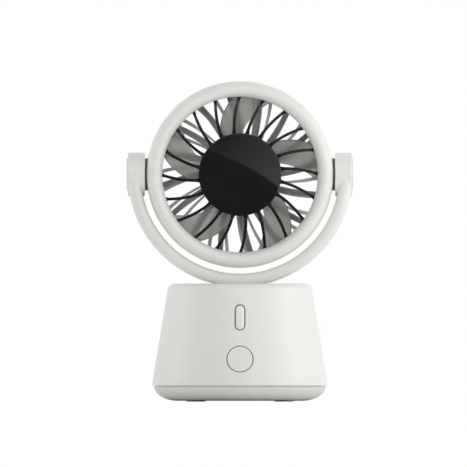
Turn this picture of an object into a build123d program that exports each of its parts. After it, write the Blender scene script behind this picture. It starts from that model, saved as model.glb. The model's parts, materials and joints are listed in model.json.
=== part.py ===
from build123d import *
import os
from math import acos, atan, cos, degrees, radians, sin, sqrt

# A desk fan: a round fan head tilts in a half-ring yoke, the yoke turns on a conical base.
# Millimetres. +Z is up, the front faces -Y, and the origin is under the feet on the centre line.

# ---- driving dimensions: base ----
FOOT_HEIGHT = 0.5         # how far the rubber feet stand below the dish
TRAY_RIM = 9.35           # top of the visible dish
SEAM = 0.15               # shadow gap between dish and shell
SHELL_BOTTOM = TRAY_RIM + SEAM
BASE_TOP = 70.9
CONE_RADIUS = 52.9        # shell radius at its lower edge
CONE_TAPER = 0.164        # radius lost per millimetre of height
CONE_ANGLE = degrees(atan(CONE_TAPER))
TOP_ROUND = 4.7
WALL = 2.2
TRAY_RADIUS = 51.5
TRAY_ROUND = 14.3         # how far in the dish's rounding reaches; it is flatter than a circle
SPIGOT_RADIUS = 49.8
SPIGOT_TOP = 12.5
FLOOR = FOOT_HEIGHT + WALL  # inside of the dish

# ---- driving dimensions: head and yoke ----
AXIS_Z = 136.3            # height of the tilt axis, which is also the fan's centre
RING_RADIUS = 56.0        # outside of the head
DUCT_RADIUS = 46.6        # the round opening that the air leaves through
LIP_ROUND = (RING_RADIUS - DUCT_RADIUS) / 2
LIP_F = 9.0               # where the round lip starts, forward of the tilt axis
LIP_DEPTH = 7.0           # how far the lip stands forward from there
PART_F = 7.0              # parting line between front ring and rear shell
REAR_F = -5.0             # where the rear rounding starts
REAR_ROUND = 8.5
SKIN = 1.5
HUB_RADIUS = 24.85        # glossy cap in the middle
YOKE_MID = 63.4           # radius of the yoke's centre line
YOKE_THICK = 3.9          # half thickness across the band
YOKE_DEPTH = 13.1         # half depth of the band, and radius of its pivot hubs
YOKE_CORNER = 3.8         # rounding of the band's four long edges
PIVOT_INNER = 57.1
PIVOT_OUTER = YOKE_MID + YOKE_THICK
CAP_OUTER = 68.0
AXLE_RADIUS = 3.97
FEET_HALF = 26.5          # half spacing of the feet across the base

# ---- driving dimensions: fan ----
FINS = 20
FIN_WIDTH = 1.85
BLADES = 5
VANES = 16
VANE_CHORD = 4.7
SPOKES = 26
SPOKE_ROOT = 1.05         # width of a rear spoke at the pod, and at the rim
SPOKE_TIP = 2.45
BLADE_ROOT = 23.2
BLADE_TIP = 46.9
SHAFT_RADIUS = 1.5
HOLE_FIT = 0.05           # radial room around screws and small shafts

# ---- driving dimensions: keys ----
BUTTON_Z = 25.6
BUTTON_RADIUS = 7.6
PILL_Z = 50.6
PILL_LENGTH = 15.0
PILL_WIDTH = 5.4
KEY_GAP = 0.5

PAN_DISC_RADIUS = 30.0
PAN_DISC_TOP = 70.7
RECESS_FLOOR = 67.4
PLATE_UNDER = 64.9
PAN_HUB_RADIUS = 9.5


def cone_radius(height):
    """Outside radius of the conical shell at a height."""
    return CONE_RADIUS - CONE_TAPER * (height - SHELL_BOTTOM)


# Working planes. In HEAD, x is to the right, y is up and z points forward out of the fan.
HEAD = Plane(origin=(0, 0, AXIS_Z), x_dir=(1, 0, 0), z_dir=(0, -1, 0))
KEY_WALL = Plane(
    origin=(0, -cone_radius(BUTTON_Z), BUTTON_Z),
    x_dir=(1, 0, 0),
    z_dir=(0, -cos(radians(CONE_ANGLE)), sin(radians(CONE_ANGLE))),
)
PILL_UP = (PILL_Z - BUTTON_Z) / cos(radians(CONE_ANGLE))
UPSIDE = Rot(180, 0, 0)


# ---- shared shapes ----
def disc(radius, low, high):
    return Pos(0, 0, low) * extrude(Circle(radius), high - low)


def tube(outer, inner, low, high):
    return Pos(0, 0, low) * extrude(Circle(outer) - Circle(inner), high - low)


def spun(outline):
    """Full turn about Z of a closed outline drawn as (radius, height)."""
    return revolve(Plane.XZ * make_face(outline), Axis.Z)


def along_x(shape):
    """Turns a shape drawn along Z so that it runs along X."""
    return Rot(0, 90, 0) * shape


def clock(radius, angle):
    """Point at a radius, at an angle clockwise from the top."""
    return (radius * sin(radians(angle)), radius * cos(radians(angle)))


def bend_point(centre, radius, angle):
    """Point of a section on an arc; the angle is 0 outwards and 90 upwards."""
    return (centre[0] + radius * cos(radians(angle)), centre[1] + radius * sin(radians(angle)))


def around(shape, count):
    return [Rot(0, 0, -360 / count * k) * shape for k in range(count)]


def both_sides(shape):
    return [shape, mirror(shape, Plane.YZ)]


def screw(shank, head, head_height, length):
    """Pan-head screw whose head sits below z = 0 and whose shank points up."""
    body = disc(shank, 0, length) + disc(head, -head_height, 0)
    slot = Pos(0, 0, -head_height) * Box(head, 0.5, 0.8)
    return body - slot - Rot(0, 0, 90) * slot


def swirl_bar(start, reach, angle, sweep, widths, bend=1.0):
    """Flat curved bar from one radius to another, turning clockwise by sweep on the way.

    Its width runs evenly from the first of the two widths to the second.
    """
    steps = 6
    left = []
    right = []
    for k in range(steps + 1):
        part = k / steps
        radius = start + (reach - start) * part
        here = angle + sweep * part ** bend
        width = widths[0] + (widths[1] - widths[0]) * part
        half = degrees(width / 2 / radius)
        left.append(clock(radius, here - half))
        right.append(clock(radius, here + half))
    edges = Spline(*left) + Line(left[-1], right[-1]) + Spline(*right[::-1]) + Line(right[0], left[0])
    return make_face(edges)


def write(name, shape, plane=None):
    """Writes one node: a solid, or a list of separate solids that share the node."""
    shapes = shape if isinstance(shape, list) else [shape]
    solids = [solid for item in shapes for solid in item.solids()]
    if plane is not None:
        solids = [solid.moved(plane.location) for solid in solids]
    part = solids[0] if len(solids) == 1 else Compound(children=solids)
    part.label = name
    export_step(part, f"parts/{name}.step")


# ---- base ----
COLUMNS = [(22, -32), (-22, -32), (24, 35), (-24, 35)]
COLUMN_RADIUS = 3.2
COLUMN_BOTTOM = 6.5
FEET = [(FEET_HALF, 20), (-FEET_HALF, 20), (FEET_HALF, -20), (-FEET_HALF, -20)]
USB_Z = 30.2
MOTOR_OFFSET = 8.0
MOTOR_TOP = 60.0
EAR_SPACING = 17.5
KEY_BOARD_UP = 12.7        # middle of the key board, above the centre of the round key
KEY_SCREW_X = (8.0, -8.0)


def cone_solid(inset, low, high):
    return spun(Polyline(
        (0, low),
        (cone_radius(low) - inset, low),
        (cone_radius(high) - inset, high),
        (0, high),
        close=True,
    ))


def shell_skin():
    """Conical shell with a rounded top edge and a sunk seat for the turntable."""
    outside = cone_solid(0, SHELL_BOTTOM, BASE_TOP)
    outside = fillet(outside.edges().filter_by(GeomType.CIRCLE).group_by(Axis.Z)[-1], TOP_ROUND)
    hollow_top = 68.5
    inside = spun(Polyline(
        (0, SHELL_BOTTOM),
        (cone_radius(SHELL_BOTTOM) - WALL, SHELL_BOTTOM),
        (cone_radius(hollow_top) - WALL - 0.4, hollow_top),
        (PAN_DISC_RADIUS + 3, hollow_top),
        (PAN_DISC_RADIUS + 3, PLATE_UNDER),
        (0, PLATE_UNDER),
        close=True,
    ))
    seat = disc(PAN_DISC_RADIUS + 0.3, RECESS_FLOOR, BASE_TOP + 1)
    bore = disc(PAN_HUB_RADIUS + 0.1, PLATE_UNDER - 1, BASE_TOP)
    return outside, outside - inside - seat - bore


def base_shell():
    outside, shell = shell_skin()
    for x, y in COLUMNS:
        column = Pos(x, y, 0) * tube(COLUMN_RADIUS, 1.3 + HOLE_FIT, COLUMN_BOTTOM, PLATE_UNDER + 1)
        shell += column & cone_solid(0.5, 1, BASE_TOP - 1)
    for x in (EAR_SPACING, -EAR_SPACING):
        shell += Pos(x, MOTOR_OFFSET, 0) * tube(3.0, 1.0 + HOLE_FIT, MOTOR_TOP, PLATE_UNDER + 0.5)
    for x in KEY_SCREW_X:
        post = KEY_WALL * Pos(x, KEY_BOARD_UP, 0) * tube(2.5, 1.0 + HOLE_FIT, KEY_BOARD_FRONT, -1.2)
        shell += post & outside
    shell -= KEY_WALL * disc(BUTTON_RADIUS + KEY_GAP, -6, 4)
    shell -= KEY_WALL * Pos(0, PILL_UP, -6) * extrude(pill_outline(KEY_GAP), 10)
    port = RectangleRounded(12.4, 6.6, 2.0)
    shell -= Pos(0, 44, USB_Z) * Rot(-90, 0, 0) * extrude(port, 12)
    return shell


def pill_outline(margin):
    return SlotOverall(PILL_LENGTH + 2 * margin, PILL_WIDTH + 2 * margin, rotation=90)


def dish_rounding():
    """Outer curve of the dish, from its flat bottom up to its rim."""
    return EllipticalCenterArc(
        (TRAY_RADIUS - TRAY_ROUND, TRAY_RIM),
        TRAY_ROUND,
        TRAY_RIM - FOOT_HEIGHT,
        start_angle=-90,
        arc_size=90,
    )


def dish_outside():
    flat = TRAY_RADIUS - TRAY_ROUND
    outline = Line((0, FOOT_HEIGHT), (flat, FOOT_HEIGHT)) + dish_rounding()
    return spun(outline + Polyline((TRAY_RADIUS, TRAY_RIM), (0, TRAY_RIM), (0, FOOT_HEIGHT)))


def base_tray():
    """Rounded dish that closes the base, with a spigot inside the shell."""
    flat = TRAY_RADIUS - TRAY_ROUND
    wall_in = 48.0
    corner = 6.0
    inside = (wall_in - corner, FLOOR + corner)
    outline = Line((0, FOOT_HEIGHT), (flat, FOOT_HEIGHT)) + dish_rounding()
    outline += Polyline((TRAY_RADIUS, TRAY_RIM), (SPIGOT_RADIUS, TRAY_RIM), (SPIGOT_RADIUS, SPIGOT_TOP),
                        (wall_in, SPIGOT_TOP), (wall_in, FLOOR + corner))
    outline += ThreePointArc((wall_in, FLOOR + corner), bend_point(inside, corner, -45), (inside[0], FLOOR))
    outline += Polyline((inside[0], FLOOR), (0, FLOOR), (0, FOOT_HEIGHT))
    tray = spun(outline)
    outside = dish_outside()
    for x, y in COLUMNS:
        boss = Pos(x, y, 0) * disc(4.0, FOOT_HEIGHT + 1, COLUMN_BOTTOM)
        tray += boss & outside
        tray -= Pos(x, y, 0) * disc(1.6, FOOT_HEIGHT - 1, COLUMN_BOTTOM + 1)
        tray -= Pos(x, y, 0) * disc(2.9, FOOT_HEIGHT - 1, 3.5)
    for x, y in FEET:
        tray -= Pos(x, y, 0) * disc(6.0, FOOT_HEIGHT - 1, FOOT_HEIGHT + 0.8)
    return tray


def rubber_feet():
    pad = disc(5.95, 0, FOOT_HEIGHT + 0.8)
    pad = fillet(pad.edges().filter_by(GeomType.CIRCLE).group_by(Axis.Z)[0], 0.3)
    return [Pos(x, y, 0) * pad for x, y in FEET]


def tray_screws():
    return [Pos(x, y, 3.5) * screw(1.3, 2.6, 1.8, 14.0) for x, y in COLUMNS]


# ---- battery and boards ----
CELL_RADIUS = 9.2
CELL_LENGTH = 65.0
CELL_Z = 13.2
CELL_ROWS = (-1.0, 18.0)
CRADLE_LOW_Y = -11.7
CRADLE_HIGH_Y = 28.7
CRADLE_HALF = 34.3
CLAMP_LOW = 22.6
CLAMP_TOP = 24.4
MAIN_BOARD_LOW = 27.0
MAIN_BOARD_TOP = 28.6
BOARD_POSTS = [(16, -4), (-16, -4), (16, 25), (-16, 25)]


def block(x0, x1, y0, y1, z0, z1):
    return Pos((x0 + x1) / 2, (y0 + y1) / 2, (z0 + z1) / 2) * Box(x1 - x0, y1 - y0, z1 - z0)


def cell_bed(radius, length):
    return [Pos(-length / 2, y, CELL_Z) * along_x(disc(radius, 0, length)) for y in CELL_ROWS]


def battery_cradle():
    cradle = block(-CRADLE_HALF, CRADLE_HALF, CRADLE_LOW_Y, CRADLE_HIGH_Y, FLOOR, CELL_Z)
    for bed in cell_bed(CELL_RADIUS + 0.15, CELL_LENGTH + 0.4):
        cradle -= bed
    return cradle - tube(60, 41.9, FLOOR - 1, FLOOR + 1.5)


def battery_clamp():
    clamp = block(-CRADLE_HALF, CRADLE_HALF, CRADLE_LOW_Y, CRADLE_HIGH_Y, CLAMP_LOW, CLAMP_TOP)
    for x in (-CRADLE_HALF, CRADLE_HALF - 1.5):
        clamp += block(x, x + 1.5, CRADLE_LOW_Y, CRADLE_HIGH_Y, CELL_Z, CLAMP_TOP)
    for x, y in BOARD_POSTS:
        clamp += Pos(x, y, 0) * disc(2.5, CLAMP_TOP - 0.5, MAIN_BOARD_LOW)
        clamp -= Pos(x, y, 0) * disc(1.0 + HOLE_FIT, CLAMP_LOW + 0.4, MAIN_BOARD_LOW + 1)
    return clamp


def battery_cells():
    cells = []
    for y in CELL_ROWS:
        cell = disc(CELL_RADIUS, 0, CELL_LENGTH - 0.8) + disc(3.4, 0, CELL_LENGTH)
        cells.append(Pos(-CELL_LENGTH / 2, y, CELL_Z) * along_x(cell))
    return cells


def main_board():
    """Charging and drive board, with a tongue that carries the socket."""
    board = block(-20, 20, -8, 38, MAIN_BOARD_LOW, MAIN_BOARD_TOP)
    board += block(-8, 8, 37, 45.3, MAIN_BOARD_LOW, MAIN_BOARD_TOP)
    for x, y in BOARD_POSTS:
        board -= Pos(x, y, 0) * disc(1.1, MAIN_BOARD_LOW - 1, MAIN_BOARD_TOP + 1)
    return board


def board_parts():
    """Chips, coil and capacitor on the main board."""
    top = MAIN_BOARD_TOP
    parts = [
        block(-5, 5, 2, 9, top, top + 1.2),
        block(-14, -8, 10, 16, top, top + 3.0),
        block(6, 13, 8, 15, top, top + 1.0),
    ]
    parts.append(Pos(9, 21, 0) * disc(3.1, top, top + 7.0))
    return parts


def board_screws():
    pan = UPSIDE * screw(1.0, 1.9, 1.3, 4.8)
    return [Pos(x, y, MAIN_BOARD_TOP) * pan for x, y in BOARD_POSTS]


def usb_socket():
    mouth = 46.4
    outline = RectangleRounded(9.0, 3.2, 1.5)
    cavity = RectangleRounded(8.4, 2.6, 1.25)
    shell = Pos(0, mouth, USB_Z) * Rot(90, 0, 0) * extrude(outline, 7.4)
    shell -= Pos(0, mouth + 0.1, USB_Z) * Rot(90, 0, 0) * extrude(cavity, 6.3)
    tongue = block(-3.3, 3.3, mouth - 7.2, mouth - 1.0, USB_Z - 0.35, USB_Z + 0.35)
    return shell + tongue


# ---- keys ----
KEY_BOARD_FRONT = -9.5
KEY_BOARD_BACK = -11.0
SWITCH_TOP = -7.0
PLUNGER_RADIUS = 1.7
POST_END = -6.0


def power_button():
    """Round key, flush with the cone, kept in by a flange behind the wall."""
    face = KEY_WALL * disc(BUTTON_RADIUS, -3.9, 3)
    face = face & cone_solid(0, SHELL_BOTTOM, BASE_TOP)
    flange = KEY_WALL * disc(BUTTON_RADIUS + 1.4, -4.5, -3.6)
    post = KEY_WALL * disc(1.6, POST_END, -4)
    return face + flange + post


def swing_key():
    """Upright pill-shaped key with a pillowed face that stands proud of the cone."""
    body = extrude(pill_outline(0), 4.8)
    body = fillet(body.edges().group_by(Axis.Z)[-1], 0.9)
    flange = extrude(pill_outline(1.3), 0.9)
    post = Pos(0, 0, POST_END + 4.5) * extrude(Circle(1.6), 2)
    key = Pos(0, 0, -3.9) * body + Pos(0, 0, -4.5) * flange + Pos(0, 0, -4.5) * post
    return KEY_WALL * Pos(0, PILL_UP, 0) * key


def plunger(up):
    return KEY_WALL * Pos(0, up, 0) * disc(PLUNGER_RADIUS, -8.2, POST_END)


def tact_switches():
    housings = []
    for up in (0, PILL_UP):
        housing = Pos(0, 0, (KEY_BOARD_FRONT + SWITCH_TOP) / 2) * Box(6, 6, SWITCH_TOP - KEY_BOARD_FRONT)
        housing -= disc(PLUNGER_RADIUS + 0.08, -9.0, SWITCH_TOP + 1)
        housings.append(KEY_WALL * Pos(0, up, 0) * housing)
    return housings


def key_board():
    board = extrude(RectangleRounded(22, 44, 2), KEY_BOARD_FRONT - KEY_BOARD_BACK)
    board = Pos(0, KEY_BOARD_UP, KEY_BOARD_BACK) * board
    for x in KEY_SCREW_X:
        board -= Pos(x, KEY_BOARD_UP, 0) * disc(1.1, KEY_BOARD_BACK - 1, KEY_BOARD_FRONT + 1)
    return KEY_WALL * board


def key_board_screws():
    pan = screw(1.0, 1.9, 1.3, 6.5)
    return [KEY_WALL * Pos(x, KEY_BOARD_UP, KEY_BOARD_BACK) * pan for x in KEY_SCREW_X]


# ---- swing drive ----
RETAINER_TOP = 64.7
RETAINER_LOW = 63.5
SWING_SHAFT = 2.5
FOOT_SCREWS = [(13, 6), (13, -6), (-13, 6), (-13, -6)]
FOOT_SCREW_Z = 69.25
PAN_DISC_LOW = 67.95


def d_section(radius):
    flat = 1.6 + (radius - SWING_SHAFT)
    return Circle(radius) - Pos(0, radius + flat - 0.05) * Rectangle(4 * radius, 2 * radius)


def swing_motor():
    """Small geared motor with an offset shaft, hung under the top plate by two ears."""
    body = Pos(0, MOTOR_OFFSET, 0) * disc(14.0, 41.0, MOTOR_TOP)
    ears = Pos(0, MOTOR_OFFSET, 59.2) * extrude(SlotOverall(2 * EAR_SPACING + 7, 7), 0.8)
    collar = disc(4.5, MOTOR_TOP - 1, MOTOR_TOP + 1.5)
    plug = Pos(0, MOTOR_OFFSET + 14.5, 50) * Box(14, 6, 12)
    motor = body + ears + collar + plug
    for x in (EAR_SPACING, -EAR_SPACING):
        motor -= Pos(x, MOTOR_OFFSET, 0) * disc(1.1, 58, 61)
    return motor - disc(SWING_SHAFT + 0.08, 58.0, 62.0)


def swing_motor_screws():
    return [Pos(x, MOTOR_OFFSET, 59.2) * screw(1.0, 1.9, 1.3, 4.4) for x in (EAR_SPACING, -EAR_SPACING)]


def swing_shaft():
    return disc(SWING_SHAFT, 58.4, 62.5) + Pos(0, 0, 62.5) * extrude(d_section(SWING_SHAFT), 6.3)


def glide_washer():
    return tube(28.0, 20.0, RECESS_FLOOR, RECESS_FLOOR + 0.5)


def turntable():
    """Disc and hub that carry the yoke, with a saddle cut to the yoke's underside."""
    table = disc(PAN_DISC_RADIUS, PAN_DISC_LOW, PAN_DISC_TOP)
    table = fillet(table.edges().filter_by(GeomType.CIRCLE).group_by(Axis.Z)[-1], 0.4)
    table += disc(PAN_HUB_RADIUS, RETAINER_TOP, PAN_DISC_LOW + 0.5)
    table -= Pos(0, 0, RETAINER_TOP - 1) * extrude(d_section(SWING_SHAFT + 0.03), 5.2)
    for x, y in FOOT_SCREWS:
        table -= Pos(x, y, 0) * disc(2.0, PAN_DISC_LOW - 1, FOOT_SCREW_Z)
        table -= Pos(x, y, 0) * disc(1.0 + HOLE_FIT, PAN_DISC_LOW, PAN_DISC_TOP + 1)
    for spot in retainer_spots():
        table -= spot * disc(1.0 + HOLE_FIT, RETAINER_TOP - 1, 68.4)
    return table - HEAD * yoke_outside()


def retainer_spots():
    return [Rot(0, 0, 60 + 120 * k) * Pos(6.3, 0, 0) for k in range(3)]


def turntable_retainer():
    plate = tube(14.0, 3.2, RETAINER_LOW, RETAINER_TOP)
    for spot in retainer_spots():
        plate -= spot * disc(1.1, RETAINER_LOW - 1, RETAINER_TOP + 1)
    return plate


def retainer_screws():
    return [spot * Pos(0, 0, RETAINER_LOW) * screw(1.0, 1.8, 1.2, 4.6) for spot in retainer_spots()]


def yoke_foot_screws():
    return [Pos(x, y, FOOT_SCREW_Z) * screw(1.0, 1.8, 1.2, 4.6) for x, y in FOOT_SCREWS]


# ---- yoke, drawn in the HEAD plane ----
YOKE_SCREW_ANGLES = (205, 240, 300, 335)
YOKE_HEAD_F = -9.5


def band(thick, depth, corner, start, stop):
    """Stretch of the half ring, a rounded slab in section; angles run anticlockwise from +x."""
    section = Plane.XZ * Pos(YOKE_MID, 0) * RectangleRounded(2 * thick, 2 * depth, corner)
    return Rot(0, 0, start) * revolve(section, Axis.Z, stop - start)


def pivot_hub():
    hub = along_x(disc(YOKE_DEPTH, PIVOT_INNER, PIVOT_OUTER))
    return fillet(hub.edges().filter_by(GeomType.CIRCLE), 0.8)


def yoke_outside():
    solid = band(YOKE_THICK, YOKE_DEPTH, YOKE_CORNER, 180, 360)
    for hub in both_sides(pivot_hub()):
        solid += hub
    return solid


def yoke_screw_spots():
    return [Rot(0, 0, angle) * Pos(YOKE_MID, 0, 0) for angle in YOKE_SCREW_ANGLES]


def yoke_whole():
    outside = yoke_outside()
    yoke = outside
    for start, stop in ((188, 256), (284, 352)):
        hollow = band(YOKE_THICK - 1.6, YOKE_DEPTH - 1.7, YOKE_CORNER - 1.6, start, stop)
        for spot in yoke_screw_spots():
            hollow -= spot * disc(2.4, -YOKE_DEPTH, YOKE_DEPTH)
        yoke -= hollow
    pocket = along_x(disc(6.0, PIVOT_INNER - 1, PIVOT_OUTER))
    pocket += along_x(disc(9.5, 60.1, PIVOT_OUTER))
    pocket += along_x(disc(10.0, 64.9, PIVOT_OUTER + 1))
    for side in both_sides(pocket):
        yoke -= side
    for spot in yoke_screw_spots():
        yoke -= spot * disc(1.0 + HOLE_FIT, -YOKE_DEPTH, 7.5)
        yoke -= spot * disc(1.95, -YOKE_DEPTH - 1, YOKE_HEAD_F)
    for x, y in FOOT_SCREWS:
        hole = Pos(x, y, 0) * disc(1.0 + HOLE_FIT, PAN_DISC_LOW, 74.2)
        yoke -= HEAD.location.inverse() * hole
    return yoke


def half(shape, sign):
    """Front (+1) or rear (-1) half of a shape in the HEAD plane."""
    return shape & (Pos(0, -40, sign * 20) * Box(160, 160, 40))


def yoke_screws():
    return [spot * Pos(0, 0, YOKE_HEAD_F) * screw(1.0, 1.75, 1.3, 16.4) for spot in yoke_screw_spots()]


def pivot_cap():
    cap = disc(9.9, 64.9, CAP_OUTER)
    cap = fillet(cap.edges().filter_by(GeomType.CIRCLE).group_by(Axis.Z)[-1], 0.5)
    return along_x(cap - disc(8.2, 64, 66.2))


def bushing():
    bore = AXLE_RADIUS + 0.06
    return along_x(tube(6.0, bore, PIVOT_INNER, 60.1) + tube(7.8, bore, 60.1, 61.1))


# ---- tilt axle, drawn in the HEAD plane ----
def tilt_axle():
    return along_x(tube(AXLE_RADIUS, 1.6, 49.2, 64.2))


def collar():
    ring = along_x(tube(9.7, AXLE_RADIUS + 0.05, 53.0, PIVOT_INNER - 0.1))
    return ring - disc(RING_RADIUS, -20, 20)


def axle_nut():
    hexagon = RegularPolygon(6.6, 6) - Circle(AXLE_RADIUS + 0.03)
    nut = Pos(0, 0, 62.0) * extrude(hexagon, 2.0)
    return along_x(nut)


def friction_washer():
    return along_x(tube(7.6, AXLE_RADIUS + 0.06, 61.15, 62.0))


# ---- head, drawn in the HEAD plane ----
STACK_OUT = 48.8
GUARD_F = 8.4
DUCT_FRONT_F = 6.4
DUCT_REAR_F = -10.2
MOUNT_FRONT_F = -5.4
GRILLE_REAR_F = -12.0
STACK_IN = 47.6
RING_SCREW_RADIUS = 51.6
RING_SCREW_F = -7.0
DIAGONALS = [45, 135, 225, 315]


def ring_screw_spots():
    return [Rot(0, 0, angle) * Pos(RING_SCREW_RADIUS, 0, 0) for angle in DIAGONALS]


def front_ring():
    """Deep rounded bezel in front of the head; its thick inner foot clamps the guard."""
    mid = RING_RADIUS - LIP_ROUND
    inner = LIP_ROUND - SKIN + 0.1
    inner_depth = LIP_DEPTH - SKIN + 0.1
    foot = STACK_OUT - 0.1
    foot_turn = degrees(acos((foot - mid) / inner))
    foot_top = LIP_F + inner_depth * sin(radians(foot_turn))
    outline = Line((RING_RADIUS, PART_F), (RING_RADIUS, LIP_F))
    outline += EllipticalCenterArc((mid, LIP_F), LIP_ROUND, LIP_DEPTH, start_angle=0, arc_size=180)
    outline += Polyline((DUCT_RADIUS, LIP_F), (DUCT_RADIUS, GUARD_F), (foot, GUARD_F), (foot, foot_top))
    outline += EllipticalCenterArc((mid, LIP_F), inner, inner_depth, start_angle=0, arc_size=foot_turn)
    outline += Polyline((mid + inner, LIP_F), (mid + inner, PART_F), (RING_RADIUS, PART_F))
    ring = spun(outline)
    for spot in ring_screw_spots():
        ring += spot * disc(2.2, PART_F, LIP_F + LIP_DEPTH - 1.2)
        ring -= spot * disc(1.0 + HOLE_FIT, PART_F - 1, 11.0)
    return ring


def head_shell():
    """Barrel of the head, rounded in to the rear grille, with bosses for axles and screws."""
    centre = (RING_RADIUS - REAR_ROUND, REAR_F)
    inner = REAR_ROUND - SKIN
    rear = REAR_F - REAR_ROUND
    lip = STACK_OUT + 0.1
    lip_f = REAR_F - sqrt(inner ** 2 - (lip - centre[0]) ** 2)
    outline = Line((RING_RADIUS, PART_F), (RING_RADIUS, REAR_F))
    outline += ThreePointArc((RING_RADIUS, REAR_F), bend_point(centre, REAR_ROUND, -45), (centre[0], rear))
    outline += Polyline((centre[0], rear), (DUCT_RADIUS, rear), (DUCT_RADIUS, GRILLE_REAR_F),
                        (lip, GRILLE_REAR_F), (lip, lip_f))
    outline += ThreePointArc((lip, lip_f), bend_point(centre, inner, -45), (centre[0] + inner, REAR_F))
    outline += Polyline((centre[0] + inner, REAR_F), (centre[0] + inner, PART_F), (RING_RADIUS, PART_F))
    shell = spun(outline)
    for boss in both_sides(along_x(disc(6.5, STACK_OUT + 0.4, RING_RADIUS - 1))):
        shell += boss
    for bore in both_sides(along_x(disc(AXLE_RADIUS + 0.02, 40, 60))):
        shell -= bore
    for spot in ring_screw_spots():
        shell += spot * disc(2.5, -9.0, PART_F)
        shell -= spot * disc(1.0 + HOLE_FIT, -10, PART_F + 1)
        shell -= spot * disc(2.1, -20, RING_SCREW_F)
    return shell


def ring_screws():
    return [spot * Pos(0, 0, RING_SCREW_F) * screw(1.0, 1.9, 1.4, 17.5) for spot in ring_screw_spots()]


def trimmed(flat, low, high, outline):
    """A flat pattern given depth, then cut to a turned outline."""
    return (Pos(0, 0, low) * extrude(flat, high - low)) & spun(outline)


def front_guard():
    """Twenty swept fins between the centre plate and a thin ring behind the lip."""
    guard = disc(HUB_RADIUS - 1.2, 9.9, 11.4)
    guard += tube(STACK_OUT, STACK_IN, DUCT_FRONT_F, GUARD_F)
    fin = swirl_bar(HUB_RADIUS - 2, STACK_IN + 0.4, 10, 8, (FIN_WIDTH, FIN_WIDTH), bend=1.25)
    outline = Polyline((22, 9.9), (22, 11.4), (HUB_RADIUS + 0.1, 11.4), (HUB_RADIUS + 0.1, 11.9),
                       (43.6, 12.2), (45.9, 10.4), (DUCT_RADIUS - 0.1, GUARD_F - 0.1),
                       (STACK_IN + 0.5, GUARD_F - 0.1), (STACK_IN + 0.5, 6.6), (45, 7.4), (26, 8.4),
                       close=True)
    fin = trimmed(fin, 5, 14, outline)
    for copy in around(fin, FINS):
        guard += copy
    return guard


def hub_cap():
    cap = disc(HUB_RADIUS, 11.4, 12.9)
    return fillet(cap.edges().filter_by(GeomType.CIRCLE).group_by(Axis.Z)[-1], 0.4)


def rear_grille():
    """Fine swept spokes between the rear pod and a ring clamped in the shell."""
    grille = tube(STACK_OUT, STACK_IN, GRILLE_REAR_F, DUCT_REAR_F)
    grille += tube(20.6, 18.6, -16.2, -13.6)
    bar = swirl_bar(19.5, STACK_IN + 0.4, 33.2, -10.5, (SPOKE_ROOT, SPOKE_TIP))
    outline = Polyline((19, -13.9), (19, -15.9), (DUCT_RADIUS - 0.5, GRILLE_REAR_F),
                       (STACK_IN + 0.5, GRILLE_REAR_F), (STACK_IN + 0.5, -10.3), close=True)
    bar = trimmed(bar, -18, -8, outline)
    for copy in around(bar, SPOKES):
        grille += copy
    return grille


def rear_cap():
    cap = disc(18.5, -17.6, -13.6)
    cap = fillet(cap.edges().filter_by(GeomType.CIRCLE).group_by(Axis.Z)[0], 1.8)
    return cap - disc(16.9, -16.0, -13)


def air_duct():
    """Plain tube round the impeller, clamped between the guard and the motor mount."""
    return tube(STACK_OUT, STACK_IN, MOUNT_FRONT_F, DUCT_FRONT_F)


def radial_plane(radius, angle, forward):
    """Plane square to the radius at a clock angle, with its x running clockwise."""
    out = (sin(radians(angle)), cos(radians(angle)), 0)
    side = (cos(radians(angle)), -sin(radians(angle)), 0)
    return Plane(origin=(*clock(radius, angle), forward), x_dir=side, z_dir=out)


def stator_vane():
    """Thin vane that leans back as it runs outwards and turns on edge towards its tip."""
    root = 19.0
    tip = STACK_IN + 0.6
    middle = (DUCT_REAR_F + MOUNT_FRONT_F) / 2
    sections = []
    for k in range(5):
        part = k / 4
        pitch = 30 + 22 * part
        plane = radial_plane(root + (tip - root) * part, -0.4 - 7.8 * part, middle)
        sections.append(plane * Rot(0, 0, pitch) * Rectangle(VANE_CHORD, 0.9))
    return loft(sections)


def motor_mount():
    """Ring and sixteen swept vanes that hold the motor plate and the bearing tube."""
    mount = tube(STACK_OUT, STACK_IN, DUCT_REAR_F, MOUNT_FRONT_F)
    mount += disc(20.0, -8.0, -6.0)
    vane = stator_vane() & disc(STACK_OUT - 0.4, DUCT_REAR_F, MOUNT_FRONT_F)
    for copy in around(vane, VANES):
        mount += copy
    mount += disc(5.4, -8.0, 4.2)
    return mount - disc(4.0, -9, 5)


# ---- motor and impeller, drawn in the HEAD plane ----
def blade_edges(radius):
    """Clock angles of a blade's trailing and leading edge at a radius."""
    part = max(0, radius - BLADE_ROOT) / (BLADE_TIP - BLADE_ROOT)
    return (-28 + 23.6 * part ** 1.25, 0.5 + 22.3 * part)


def impeller_blade():
    """Broad cambered blade, lofted through sections square to the radius."""
    first = BLADE_ROOT - 0.4
    last = BLADE_TIP + 1.1
    rise = 4.25
    sections = []
    for k in range(5):
        radius = first + (last - first) * k / 4
        trailing, leading = blade_edges(radius)
        half_angle = radians((leading - trailing) / 2)
        plane = radial_plane(radius * cos(half_angle), (leading + trailing) / 2, 0.5)
        sections.append(plane * blade_section(radius * sin(half_angle), rise, 0.6))
    blade = loft(sections)
    return blade & disc(BLADE_TIP, -10, 10)


def blade_section(half, rise, thick):
    camber = 1.2
    top = Spline((-half, -rise + thick), (0, camber + thick), (half, rise + thick))
    low = Spline((half, rise - thick), (0, camber - thick), (-half, -rise - thick))
    edges = top + Line((half, rise + thick), (half, rise - thick)) + low
    edges += Line((-half, -rise - thick), (-half, -rise + thick))
    return make_face(edges)


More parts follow.
